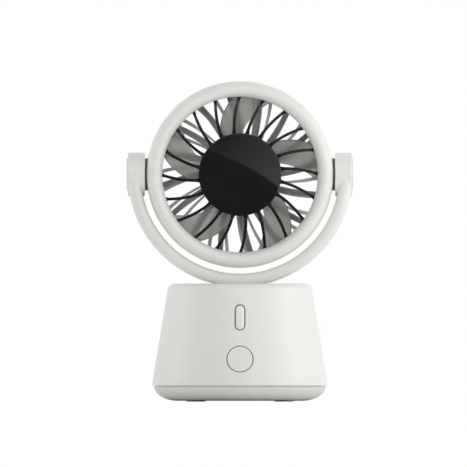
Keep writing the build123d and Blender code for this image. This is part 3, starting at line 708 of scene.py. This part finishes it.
def whole_yoke():
    """Half ring, a rounded slab in section, with a round hub at each end, drawn flat."""
    nothing_selected()
    bpy.ops.mesh.primitive_plane_add(
        size=2, location=(-YOKE_MID * MM, 0, 0), rotation=(math.radians(90), 0, 0))
    yoke = bpy.context.object
    yoke.name = "whole_yoke"
    yoke.scale = (YOKE_THICK * MM, YOKE_DEPTH * MM, 1)
    settle()
    edit()
    pick_all()
    bpy.ops.mesh.bevel(offset=YOKE_CORNER * MM, segments=10, affect="VERTICES")
    pick_all()
    bpy.ops.mesh.delete(type="ONLY_FACE")
    pick_all()
    bpy.ops.mesh.spin(steps=120, angle=math.radians(-180), center=(0, 0, 0), axis=(0, 0, 1))
    pick_all()
    bpy.ops.mesh.fill_holes(sides=0)
    done()
    faces_outwards(yoke)
    for side in (1, -1):
        hub = turned("hub", pivot_outline(), closed=False, around=128)
        carve(yoke, put(hub, turn=(0, 90 * side, 0)), "UNION")
        pocket = turned("pocket", pocket_outline(), closed=False, around=96)
        carve(yoke, put(pocket, turn=(0, 90 * side, 0)))
    for angle in YOKE_SCREWS:
        place = (YOKE_MID * math.cos(math.radians(angle)), YOKE_MID * math.sin(math.radians(angle)))
        drill(yoke, "well", 1.95, -20, -9.5, place)
    return yoke


def yoke_half(yoke, name, front):
    """One half of the yoke, cut through the middle plane, with its parting edge eased."""
    half = copy_of(yoke, name)
    only(half)
    edit()
    pick_all()
    bpy.ops.mesh.bisect(plane_co=(0, 0, 0), plane_no=(0, 0, 1), use_fill=True,
                        clear_inner=front, clear_outer=not front)
    done()
    faces_outwards(half)
    pick_edges(half, lambda a, b: abs(a.z) < 1e-6 and abs(b.z) < 1e-6)
    bpy.ops.mesh.bevel(offset=0.1 * MM, segments=1)
    done()
    return smooth(to_head(half))


def pivot_cap():
    """Round cover of the tilt axle, with a shallow dish in its face."""
    outline = [(2.0, POCKET_FLOOR), (CAP, POCKET_FLOOR)]
    outline += arc((CAP - 0.5, CAP_OUT - 0.5), 0.5, 0, 90, 5)
    outline += [(8.4, CAP_OUT), (7.8, CAP_OUT - 0.15), (2.0, CAP_OUT - 0.3)]
    cap = turned("right_cap", outline, closed=False, around=96)
    return smooth(put(cap, (0, 0, TILT_Z), (0, 90, 0)))


def dark_collar():
    """Spacer between head and yoke, cut to the barrel's curve."""
    outline = [(4.2, 53.5), (COLLAR, 53.5)]
    outline += arc((COLLAR - 0.25, PIVOT_IN - 0.35), 0.25, 0, 90, 3)
    outline += [(4.2, PIVOT_IN - 0.1)]
    ring = turned("right_dark_collar", outline, closed=False, around=96)
    put(ring, turn=(0, 90, 0))
    carve(ring, round_bar("core", RING, -20, 20, around=256))
    return smooth(to_head(ring))


# ---- head ----
FINS = 20
BLADES = 5
VANES = 16
SPOKES = 26
RING_SCREWS = 51.6                    # how far the ring's screws stand from the axis
SPOKE_START = 19.6


def clock(radius, angle):
    """Point at a radius and an angle clockwise from the top."""
    return (radius * math.sin(math.radians(angle)), radius * math.cos(math.radians(angle)))


def lip_arc(reach, depth, start, stop, steps):
    """Part of the lip's section, an arc that is drawn out forwards."""
    circle = arc((RING - LIP_ROUND, LIP_F), reach, start, stop, steps)
    return [(radius, LIP_F + (forward - LIP_F) * depth / reach) for radius, forward in circle]


def front_bezel():
    """Deep rounded bezel, turned in one section."""
    mid = RING - LIP_ROUND
    inner = LIP_ROUND - SKIN
    foot = STACK_OUT - 0.1
    outline = arc((RING - 0.2, PART_F + 0.2), 0.2, -90, 0, 3)
    outline += lip_arc(LIP_ROUND, LIP_DEPTH, 0, 180, 44)
    outline += [(DUCT, 8.4), (foot, 8.4)]
    outline += lip_arc(inner, LIP_DEPTH - SKIN, math.degrees(math.acos((foot - mid) / inner)), 0, 10)
    outline += [(mid + inner, PART_F)]
    return smooth(to_head(turned("front_bezel", outline, around=256)))


def rear_barrel():
    """Barrel and rounded back of the head, with four screw wells behind."""
    centre = (RING - REAR_ROUND, REAR_F)
    inner = REAR_ROUND - 1.5
    outline = arc((RING - 0.2, PART_F - 0.2), 0.2, 90, 0, 3)
    outline += arc(centre, REAR_ROUND, 0, -88, 30)
    outline += arc((DUCT + 0.5, REAR_F - REAR_ROUND + 0.5), 0.5, -90, -180, 4)
    outline += [(DUCT, -12.0), (STACK_OUT + 0.1, -12.0)]
    outline += arc(centre, inner, -78, 0, 8)
    outline += [(centre[0] + inner, PART_F)]
    barrel = turned("rear_barrel", outline, around=256)
    for angle in (45, 135, 225, 315):
        place = clock(RING_SCREWS, angle)
        drill(barrel, "boss", 2.5, -9, 2, place, around=40, operation="UNION")
        drill(barrel, "well", 2.1, -20, -7, place)
    return smooth(to_head(barrel))


def guard_fin():
    """One fin: a stout root at the plate, and a broad foot where it dives behind the lip."""
    stations = [(HUB - 1.5, 8.6, 11.3, 2.7), (HUB + 0.3, 8.6, 11.5, 2.7), (HUB + 1.2, 8.5, 11.8, 2.2)]
    stations.append((HUB + 2.4, 8.5, 12.0, FIN_WIDE))
    for k in range(9):
        stations.append((HUB + 4 + 1.8 * k, 8.5 - 0.05 * k, 12.15, FIN_WIDE))
    stations += [(44.6, 8.0, 11.8, FIN_WIDE), (45.6, 7.8, 10.8, 2.0), (46.2, 7.5, 9.4, 2.4)]
    stations += [(DUCT + 0.1, 7.2, 8.25, 2.8), (STACK_IN + 0.3, 6.8, 8.2, 3.0)]
    return drawn_out("fin", stations)


def guard():
    """Front guard: twenty swept fins, a plate behind the cap and a thin ring behind the lip."""
    fin = soften(guard_fin(), 0.3, 3, 50)
    swept_round(fin, lambda reach: 10 + 8 * max(0, (reach - HUB) / (STACK_IN - HUB)) ** 1.25)
    fins = around_axis(fin, FINS, "fins")
    plate = turned("plate", [(2.0, 9.9), (HUB - 1.2, 9.9), (HUB - 1.2, 11.38), (2.0, 11.38)], closed=False)
    ring = clamped_ring("ring", 8.38, 6.42)
    return smooth(to_head(joined([fins, plate, ring], "swept_guard")), 50)


def glossy_cap():
    outline = [(2.0, 11.4), (HUB - 0.1, 11.4)]
    outline += arc((HUB - 0.35, FACE_F - 0.35), 0.35, 0, 90, 5)
    outline += [(HUB - 0.6, FACE_F), (HUB - 3.0, FACE_F), (2.0, FACE_F)]
    return smooth(to_head(turned("glossy_cap", outline, closed=False, around=192)))


def rear_spokes():
    """Rear grille: fine spokes that lean back, from the rear pod to the clamped ring."""
    reach = STACK_IN + 0.4
    length = reach - SPOKE_START
    stations = []
    for k in range(9):
        part = k / 8
        wide = SPOKE_ROOT + (SPOKE_TIP - SPOKE_ROOT) * part
        stations.append((SPOKE_START + length * part, -15.8 + 3.85 * part, -13.95 + 3.65 * part, wide))
    bar = soften(drawn_out("spoke", stations), 0.28, 3, 50)
    swept_round(bar, lambda r: 33.2 - 10.5 * (r - SPOKE_START) / length)
    bars = around_axis(bar, SPOKES, "spokes")
    ring = clamped_ring("ring", -10.2, -12.0)
    pod_outline = [(20.6, -13.6), (18.6, -13.6), (18.6, -16.2), (20.2, -16.2), (20.6, -15.8)]
    pod_ring = turned("pod_ring", pod_outline)
    return smooth(to_head(joined([bars, ring, pod_ring], "rear_spokes")), 50)


def rear_pod():
    """Shallow cover in the middle of the rear grille, with a turned step in its face."""
    outline = [(3.0, -16.9), (13.2, -17.0), (13.8, -17.6)]
    outline += arc((18.5 - 1.6, -17.6 + 1.6), 1.6, -90, 0, 8)
    outline += [(18.5, -13.6), (16.9, -13.6), (16.9, -16.0), (3.0, -16.0)]
    return smooth(to_head(turned("rear_pod", outline, closed=False, around=128)))


def blade_edges(radius):
    """Clock angles of a blade's trailing and leading edge at a radius."""
    part = max(0, radius - BLADE_ROOT) / (BLADE_TIP - BLADE_ROOT)
    return (-28 + 23.6 * part ** 1.25, 0.5 + 22.3 * part)


def fan_blade():
    """Broad cambered blade: a flat grid, cambered, then widened and turned row by row."""
    half = 12.0
    first = BLADE_ROOT - 0.5
    last = BLADE_TIP + 1.1

    def camber(mark):
        across = mark / half
        lift = 0.5 - 4.25 * across - 1.2 * (1 - across ** 2)
        bpy.ops.transform.translate(value=(0, 0, lift * MM))

    def widen(radius):
        trailing, leading = blade_edges(radius)
        angle = math.radians((leading - trailing) / 2)
        bpy.ops.transform.resize(value=(radius * math.sin(angle) / half, 1, 1), center_override=(0, 0, 0))
        bpy.ops.transform.translate(value=(0, radius * (math.cos(angle) - 1) * MM, 0))
        turn_row((leading + trailing) / 2)

    blade = flat_sheet("blade", first, last, 2 * half, 14, 14)
    by_rows(blade, lambda co: co.x, camber)
    by_rows(blade, lambda co: co.y, widen)
    thickened(blade, 1.1)
    carve(faces_outwards(blade), round_bar("tip_gauge", BLADE_TIP, -20, 20, around=360), "INTERSECT")
    return soften(blade, 0.3, 2, 60)


CUP = 23.5                            # outer radius of the fan's cup
CUP_WALL = 1.5
CUP_FRONT = 7.5
CUP_REAR = -4.5


def fan_wheel():
    """Impeller: five broad blades on a cup that covers the motor."""
    blades = around_axis(fan_blade(), BLADES, "blades")
    outline = [(2.0, CUP_FRONT - CUP_WALL), (CUP - CUP_WALL, CUP_FRONT - CUP_WALL)]
    outline += [(CUP - CUP_WALL, CUP_REAR), (CUP, CUP_REAR)]
    outline += arc((CUP - 0.8, CUP_FRONT - 0.8), 0.8, 0, 90, 4)
    outline += [(2.0, CUP_FRONT)]
    cup = turned("cup", outline, closed=False, around=128)
    rib = put(rounded_block("rib", 1.2, 3.0, 8.6, 0.3), (0, 20.9 * MM, 1.4 * MM))
    ribs = around_axis(rib, 10, "ribs")
    return smooth(to_head(joined([blades, cup, ribs], "fan_wheel")), 45)


VANE_ROOT = 19.4
VANE_TIP = 47.7
VANE_MIDDLE = -7.8


def mount_vane():
    """Thin leaf, lightly cambered, that turns on edge towards its tip."""
    chord = 4.7

    def camber(mark):
        across = mark / (chord / 2)
        bpy.ops.transform.translate(value=(0, 0, 0.45 * (1 - across ** 2) * MM))

    def twist(mark):
        part = (mark - VANE_ROOT) / (VANE_TIP - VANE_ROOT)
        turn_row(-30 - 22 * part, "Y", (0, mark * MM, 0))

    vane = flat_sheet("vane", VANE_ROOT, VANE_TIP, chord, 8, 16)
    by_rows(vane, lambda co: co.x, camber)
    by_rows(vane, lambda co: co.y, twist)
    put(vane, (0, 0, VANE_MIDDLE * MM))
    swept_round(vane, lambda radius: -0.4 - 7.8 * (radius - VANE_ROOT) / (VANE_TIP - VANE_ROOT))
    return soften(thickened(vane, 0.8), 0.25, 2, 60)


def motor_mount():
    """Ring, plate, bearing tube and sixteen thin twisted vanes."""
    vanes = around_axis(mount_vane(), VANES, "vanes")
    ring = clamped_ring("ring", -5.42, -10.18)
    plate = turned("plate", [(4.0, -8.0), (20.0, -8.0), (20.0, -6.0), (5.4, -6.0), (5.4, 4.2), (4.0, 4.2)],
                   around=96)
    return smooth(to_head(joined([vanes, ring, plate], "vaned_mount")), 45)


def duct_tube():
    return smooth(to_head(clamped_ring("duct_tube", 6.38, -5.38)))


def charging_socket():
    """Metal sleeve of the charging port with its tongue."""
    mouth = 46.4
    sleeve = put(rounded_block("sleeve", 9.0, 3.2, 7.4, 1.5), (0, 0, -3.7 * MM))
    carve(sleeve, put(rounded_block("throat", 8.4, 2.6, 6.4, 1.25), (0, 0, -3.1 * MM)))
    tongue = put(rounded_block("tongue", 6.6, 0.7, 6.2, 0.3), (0, 0, -4.1 * MM))
    socket = joined([sleeve, tongue], "charging_sleeve")
    return smooth(put(socket, (0, mouth * MM, PORT_Z * MM), (-90, 0, 0)))


# ---- finishes: every pattern reads the piece's own coordinates ----
BODY_WHITE = (0.84, 0.845, 0.805)
SLEEVE_END = 31.6                     # how far the cells' sleeve reaches from the middle


def fresh_paint(name, colour, rough, metal=0.0, gloss=0.5):
    paint = bpy.data.materials.new(name)
    paint.use_nodes = True
    shader = paint.node_tree.nodes["Principled BSDF"]
    shader.inputs["Base Color"].default_value = (*colour, 1)
    shader.inputs["Roughness"].default_value = rough
    shader.inputs["Metallic"].default_value = metal
    shader.inputs["Specular IOR Level"].default_value = gloss
    return paint, paint.node_tree, shader


def own_place(tree, stretch=(1, 1, 1)):
    place = tree.nodes.new("ShaderNodeTexCoord")
    mapping = tree.nodes.new("ShaderNodeMapping")
    mapping.inputs["Scale"].default_value = stretch
    tree.links.new(place.outputs["Object"], mapping.inputs["Vector"])
    return mapping.outputs["Vector"]


def clouds(tree, scale, detail=2.0, stretch=(1, 1, 1)):
    """Soft noise; a scale of 1000 gives spots about a millimetre across."""
    noise = tree.nodes.new("ShaderNodeTexNoise")
    noise.inputs["Scale"].default_value = scale
    noise.inputs["Detail"].default_value = detail
    tree.links.new(own_place(tree, stretch), noise.inputs["Vector"])
    return noise.outputs["Fac"]


def spread(tree, value, low, high):
    """Maps the middle of a noise to a range."""
    return mapped(tree, value, 0.3, 0.7, low, high)


def blended(tree, value, first, second):
    mix = tree.nodes.new("ShaderNodeMix")
    mix.data_type = "RGBA"
    mix.inputs["A"].default_value = (*first, 1)
    mix.inputs["B"].default_value = (*second, 1)
    tree.links.new(value, mix.inputs["Factor"])
    return mix.outputs["Result"]


def relief(tree, shader, value, depth):
    """Fine relief, with its depth in millimetres."""
    bump = tree.nodes.new("ShaderNodeBump")
    bump.inputs["Distance"].default_value = depth * MM
    tree.links.new(value, bump.inputs["Height"])
    tree.links.new(bump.outputs["Normal"], shader.inputs["Normal"])


def shade_of(colour, factor):
    return tuple(c * factor for c in colour)


def moulded(name, colour, rough, gloss=0.5, grain=3200, depth=0.004, drift=0.03):
    """Moulded plastic: faint drift of colour, uneven sheen and a fine spark-eroded grain."""
    paint, tree, shader = fresh_paint(name, colour, rough, gloss=gloss)
    tone = spread(tree, clouds(tree, 22), 0, 1)
    tree.links.new(blended(tree, tone, shade_of(colour, 1 - drift), colour), shader.inputs["Base Color"])
    sheen = spread(tree, clouds(tree, 260, 3), rough * 0.88, rough * 1.12)
    tree.links.new(sheen, shader.inputs["Roughness"])
    relief(tree, shader, clouds(tree, grain, 3), depth)
    return paint


def smoked(name, colour, rough):
    """Smoke-grey plastic that lets some light through, with moulding haze."""
    paint, tree, shader = fresh_paint(name, colour, rough)
    shader.inputs["Transmission Weight"].default_value = 0.55
    shader.inputs["IOR"].default_value = 1.45
    haze = clouds(tree, 40, 3)
    tone = blended(tree, spread(tree, haze, 0, 1), colour, shade_of(colour, 0.9))
    tree.links.new(tone, shader.inputs["Base Color"])
    tree.links.new(spread(tree, clouds(tree, 240, 3), rough * 0.9, rough * 1.1), shader.inputs["Roughness"])
    relief(tree, shader, clouds(tree, 420, 2), 0.002)
    return paint


def piano_black(name, colour, rough, gloss=0.5):
    """Gloss black: nearly even, with a breath of handling haze."""
    paint, tree, shader = fresh_paint(name, colour, rough, gloss=gloss)
    haze = clouds(tree, 75, 4)
    tone = blended(tree, spread(tree, haze, 0, 1), colour, shade_of(colour, 1.5))
    tree.links.new(tone, shader.inputs["Base Color"])
    tree.links.new(spread(tree, clouds(tree, 140, 5), rough * 0.7, rough * 1.5), shader.inputs["Roughness"])
    relief(tree, shader, clouds(tree, 600, 2), 0.0012)
    return paint


def plated(name, colour, rough, stretch=(1, 1, 1)):
    """Bare or plated metal with drawn or ground marks along one way."""
    paint, tree, shader = fresh_paint(name, colour, rough, metal=1.0)
    marks = clouds(tree, 900, 4, stretch)
    tone = blended(tree, spread(tree, marks, 0, 1), shade_of(colour, 0.82), colour)
    tree.links.new(tone, shader.inputs["Base Color"])
    tree.links.new(spread(tree, marks, rough * 0.8, rough * 1.3), shader.inputs["Roughness"])
    relief(tree, shader, marks, 0.003)
    return paint


def banded(name, colour, line_colour, rough, metal, pitch, way):
    """Fine parallel bands, as wire turns or stacked sheets show."""
    paint, tree, shader = fresh_paint(name, colour, rough, metal=metal)
    wave = tree.nodes.new("ShaderNodeTexWave")
    wave.bands_direction = way
    wave.inputs["Scale"].default_value = 1 / (pitch * MM) / 20 * math.pi * 2
    wave.inputs["Distortion"].default_value = 0.3
    tree.links.new(own_place(tree), wave.inputs["Vector"])
    tree.links.new(blended(tree, wave.outputs["Fac"], line_colour, colour), shader.inputs["Base Color"])
    relief(tree, shader, wave.outputs["Fac"], 0.05)
    return paint


def soldered_board(name):
    """Green solder mask over copper tracks, with tinned spots."""
    paint, tree, shader = fresh_paint(name, (0.012, 0.10, 0.045), 0.32)
    tracks = tree.nodes.new("ShaderNodeTexBrick")
    tracks.inputs["Scale"].default_value = 260
    tracks.inputs["Mortar Size"].default_value = 0.03
    tracks.inputs["Color1"].default_value = (0.012, 0.10, 0.045, 1)
    tracks.inputs["Color2"].default_value = (0.010, 0.085, 0.038, 1)
    tracks.inputs["Mortar"].default_value = (0.03, 0.20, 0.08, 1)
    tree.links.new(own_place(tree), tracks.inputs["Vector"])
    tree.links.new(tracks.outputs["Color"], shader.inputs["Base Color"])
    relief(tree, shader, tracks.outputs["Fac"], 0.03)
    return paint


def shrink_wrap(name, sleeve, steel):
    """Heat-shrink sleeve that leaves the steel ends of the cells bare."""
    paint, tree, shader = fresh_paint(name, sleeve, 0.3)
    parts = tree.nodes.new("ShaderNodeSeparateXYZ")
    tree.links.new(own_place(tree), parts.inputs["Vector"])
    far = tree.nodes.new("ShaderNodeMath")
    far.operation = "ABSOLUTE"
    tree.links.new(parts.outputs["X"], far.inputs[0])
    end = tree.nodes.new("ShaderNodeMath")
    end.operation = "GREATER_THAN"
    end.inputs[1].default_value = SLEEVE_END * MM
    tree.links.new(far.outputs[0], end.inputs[0])
    tree.links.new(blended(tree, end.outputs[0], sleeve, steel), shader.inputs["Base Color"])
    tree.links.new(end.outputs[0], shader.inputs["Metallic"])
    relief(tree, shader, clouds(tree, 300, 3), 0.02)
    return paint


def all_paints():
    """The paint of each slot of the record, and one more for the rear pod."""
    return {
        "body_white": moulded("satin_white", BODY_WHITE, 0.42, gloss=0.45),
        "key_white": moulded("key_white", (0.85, 0.855, 0.815), 0.36),
        "tray_white": moulded("matt_white", (0.76, 0.76, 0.72), 0.55, gloss=0.35, depth=0.01),
        "foot_rubber": moulded("foot_rubber", (0.90, 0.90, 0.87), 0.8, 0.3, grain=1500, depth=0.03),
        "guard_black": piano_black("fin_black", (0.007, 0.007, 0.008), 0.22, gloss=0.3),
        "cap_black": piano_black("cap_black", (0.006, 0.006, 0.007), 0.045),
        "blade_grey": smoked("smoked_grey", (0.64, 0.64, 0.61), 0.36),
        "vane_grey": moulded("vane_grey", (0.40, 0.40, 0.37), 0.34, grain=1400, drift=0.1),
        "grille_grey": moulded("grille_grey", (0.84, 0.84, 0.82), 0.42, grain=1400, drift=0.05),
        "pod_grey": moulded("pod_grey", (0.72, 0.72, 0.70), 0.42, grain=1400, drift=0.05),
        "collar_dark": moulded("collar_dark", (0.07, 0.07, 0.068), 0.5),
        "inner_plastic": moulded("inner_plastic", (0.5, 0.5, 0.48), 0.5, depth=0.01),
        "slide_white": moulded("slide_white", (0.85, 0.85, 0.82), 0.3, grain=900),
        "chip_black": moulded("chip_black", (0.02, 0.02, 0.02), 0.45, grain=1800, depth=0.01),
        "cell_wrap": shrink_wrap("cell_wrap", (0.05, 0.18, 0.42), (0.6, 0.6, 0.6)),
        "circuit_board": soldered_board("circuit_board"),
        "motor_case": plated("drawn_steel", (0.56, 0.56, 0.57), 0.32, (1, 1, 0.08)),
        "screw_steel": plated("zinc_plate", (0.60, 0.60, 0.61), 0.3),
        "shaft_steel": plated("ground_steel", (0.68, 0.68, 0.69), 0.18, (0.1, 1, 1)),
        "socket_steel": plated("stamped_steel", (0.66, 0.66, 0.67), 0.24, (1, 0.1, 1)),
        "core_steel": banded(
            "laminated_steel", (0.34, 0.34, 0.36), (0.12, 0.12, 0.13), 0.4, 1.0, 0.5, "Y"),
        "winding_copper": banded(
            "enamelled_wire", (0.72, 0.34, 0.14), (0.3, 0.11, 0.04), 0.25, 0.9, 0.35, "Y"),
        "magnet_dark": moulded("magnet_dark", (0.05, 0.05, 0.055), 0.5, grain=1200, depth=0.02),
    }


# ---- cards that only reflections see: they draw the sheen across the glossy cap ----
FLAG_RADIUS = 0.1441
FLAG_X = -0.0639
FLAG_Y = -0.09
FLAG_DROP = 0.1222                    # how far the flag's centre is below the tilt axis


def only_in_gloss(sheet):
    sheet.visible_camera = False
    sheet.visible_diffuse = False
    sheet.visible_transmission = False
    sheet.visible_shadow = False


def fresh_glow(name):
    """Bare emission material, with its light node for the caller to set."""
    glow = bpy.data.materials.new(name)
    glow.use_nodes = True
    tree = glow.node_tree
    tree.nodes.clear()
    light = tree.nodes.new("ShaderNodeEmission")
    out = tree.nodes.new("ShaderNodeOutputMaterial")
    tree.links.new(light.outputs[0], out.inputs["Surface"])
    return glow, tree, light


def card(name, place, size, run, slant, strengths):
    """Upright card in front of the cap; its glow rises down to the right, along a run over its middle."""
    nothing_selected()
    bpy.ops.mesh.primitive_plane_add(size=1, location=place, rotation=(math.radians(90), 0, 0))
    sheet = bpy.context.object
    sheet.name = name
    sheet.scale = (size, size, 1)
    glow, tree, light = fresh_glow(name)
    where = tree.nodes.new("ShaderNodeTexCoord")
    lean = tree.nodes.new("ShaderNodeMapping")
    lean.inputs["Rotation"].default_value = (0, 0, math.radians(slant))
    tree.links.new(where.outputs["Object"], lean.inputs["Vector"])
    parts = tree.nodes.new("ShaderNodeSeparateXYZ")
    tree.links.new(lean.outputs["Vector"], parts.inputs["Vector"])
    reach = run / size / 2
    strength = mapped(tree, parts.outputs["X"], -reach, reach, *strengths)
    tree.links.new(strength, light.inputs["Strength"])
    sheet.data.materials.append(glow)
    only_in_gloss(sheet)


def dark_flag():
    """Round dark flag whose rim draws the slanting edge of the sheen on the cap."""
    nothing_selected()
    bpy.ops.mesh.primitive_circle_add(
        vertices=256, radius=FLAG_RADIUS, fill_type="NGON", location=(FLAG_X, FLAG_Y, TILT_Z - FLAG_DROP),
        rotation=(math.radians(90), 0, 0))
    flag = bpy.context.object
    flag.name = "dark_flag"
    glow, tree, light = fresh_glow("dark_flag")
    light.inputs["Strength"].default_value = 0.12
    flag.data.materials.append(glow)
    only_in_gloss(flag)


def sheen_cards():
    card("sheen_card", (0, -0.12, TILT_Z), 0.08, 2 * HUB * MM, 53, (0.2, 1.15))
    dark_flag()


# ---- assembly ----
def dress_base(paint):
    finish_piece(base_shell(), "base", paint["body_white"], "base_shell")
    finish_piece(bottom_dish(), "base", paint["tray_white"], "base_tray")
    finish_piece(soft_feet(), "base", paint["foot_rubber"], "rubber_feet")
    finish_piece(charging_socket(), "base", paint["socket_steel"], "usb_socket")
    finish_piece(round_key(), "power_key", paint["body_white"], "power_button")
    finish_piece(pill_key(), "swing_key_body", paint["key_white"], "swing_key")


def dress_yoke(paint):
    white = paint["body_white"]
    yoke = whole_yoke()
    front = yoke_half(yoke, "yoke_front", True)
    rear = yoke_half(yoke, "yoke_rear", False)
    disc = turn_disc(to_head(yoke))
    bpy.data.objects.remove(yoke)
    finish_piece(front, "yoke", white, "yoke_front_shell")
    finish_piece(rear, "yoke", white, "yoke_rear_shell")
    finish_piece(disc, "yoke", white, "turntable")
    cap = pivot_cap()
    finish_piece(mirrored(cap, "left_cap"), "yoke", white, "left_pivot_cap")
    finish_piece(cap, "yoke", white, "right_pivot_cap")


def dress_head(paint):
    finish_piece(front_bezel(), "head", paint["body_white"], "front_ring")
    finish_piece(rear_barrel(), "head", paint["body_white"], "head_shell")
    finish_piece(guard(), "head", paint["guard_black"], "front_guard")
    finish_piece(glossy_cap(), "head", paint["cap_black"], "hub_cap")
    finish_piece(rear_spokes(), "head", paint["grille_grey"], "rear_grille")
    finish_piece(rear_pod(), "head", paint["pod_grey"], "rear_cap")
    finish_piece(motor_mount(), "head", paint["vane_grey"], "motor_mount")
    finish_piece(duct_tube(), "head", paint["vane_grey"], "air_duct")
    finish_piece(fan_wheel(), "fan", paint["blade_grey"], "impeller")
    collar = dark_collar()
    dark = paint["collar_dark"]
    finish_piece(mirrored(collar, "left_dark_collar"), "head", dark, "left_collar")
    finish_piece(collar, "head", dark, "right_collar")


def paint_inner_nodes(paint):
    """Gives every CAD node that stays its finish, by the slot that the record names for it."""
    for part in frame["record"]["subparts"]:
        for slot in nodes[part["node"]].material_slots:
            slot.material = paint[part["material_slot"]]


def main():
    set_camera()
    studio()
    sheen_cards()
    paint = all_paints()
    dress_base(paint)
    dress_yoke(paint)
    dress_head(paint)
    paint_inner_nodes(paint)


main()
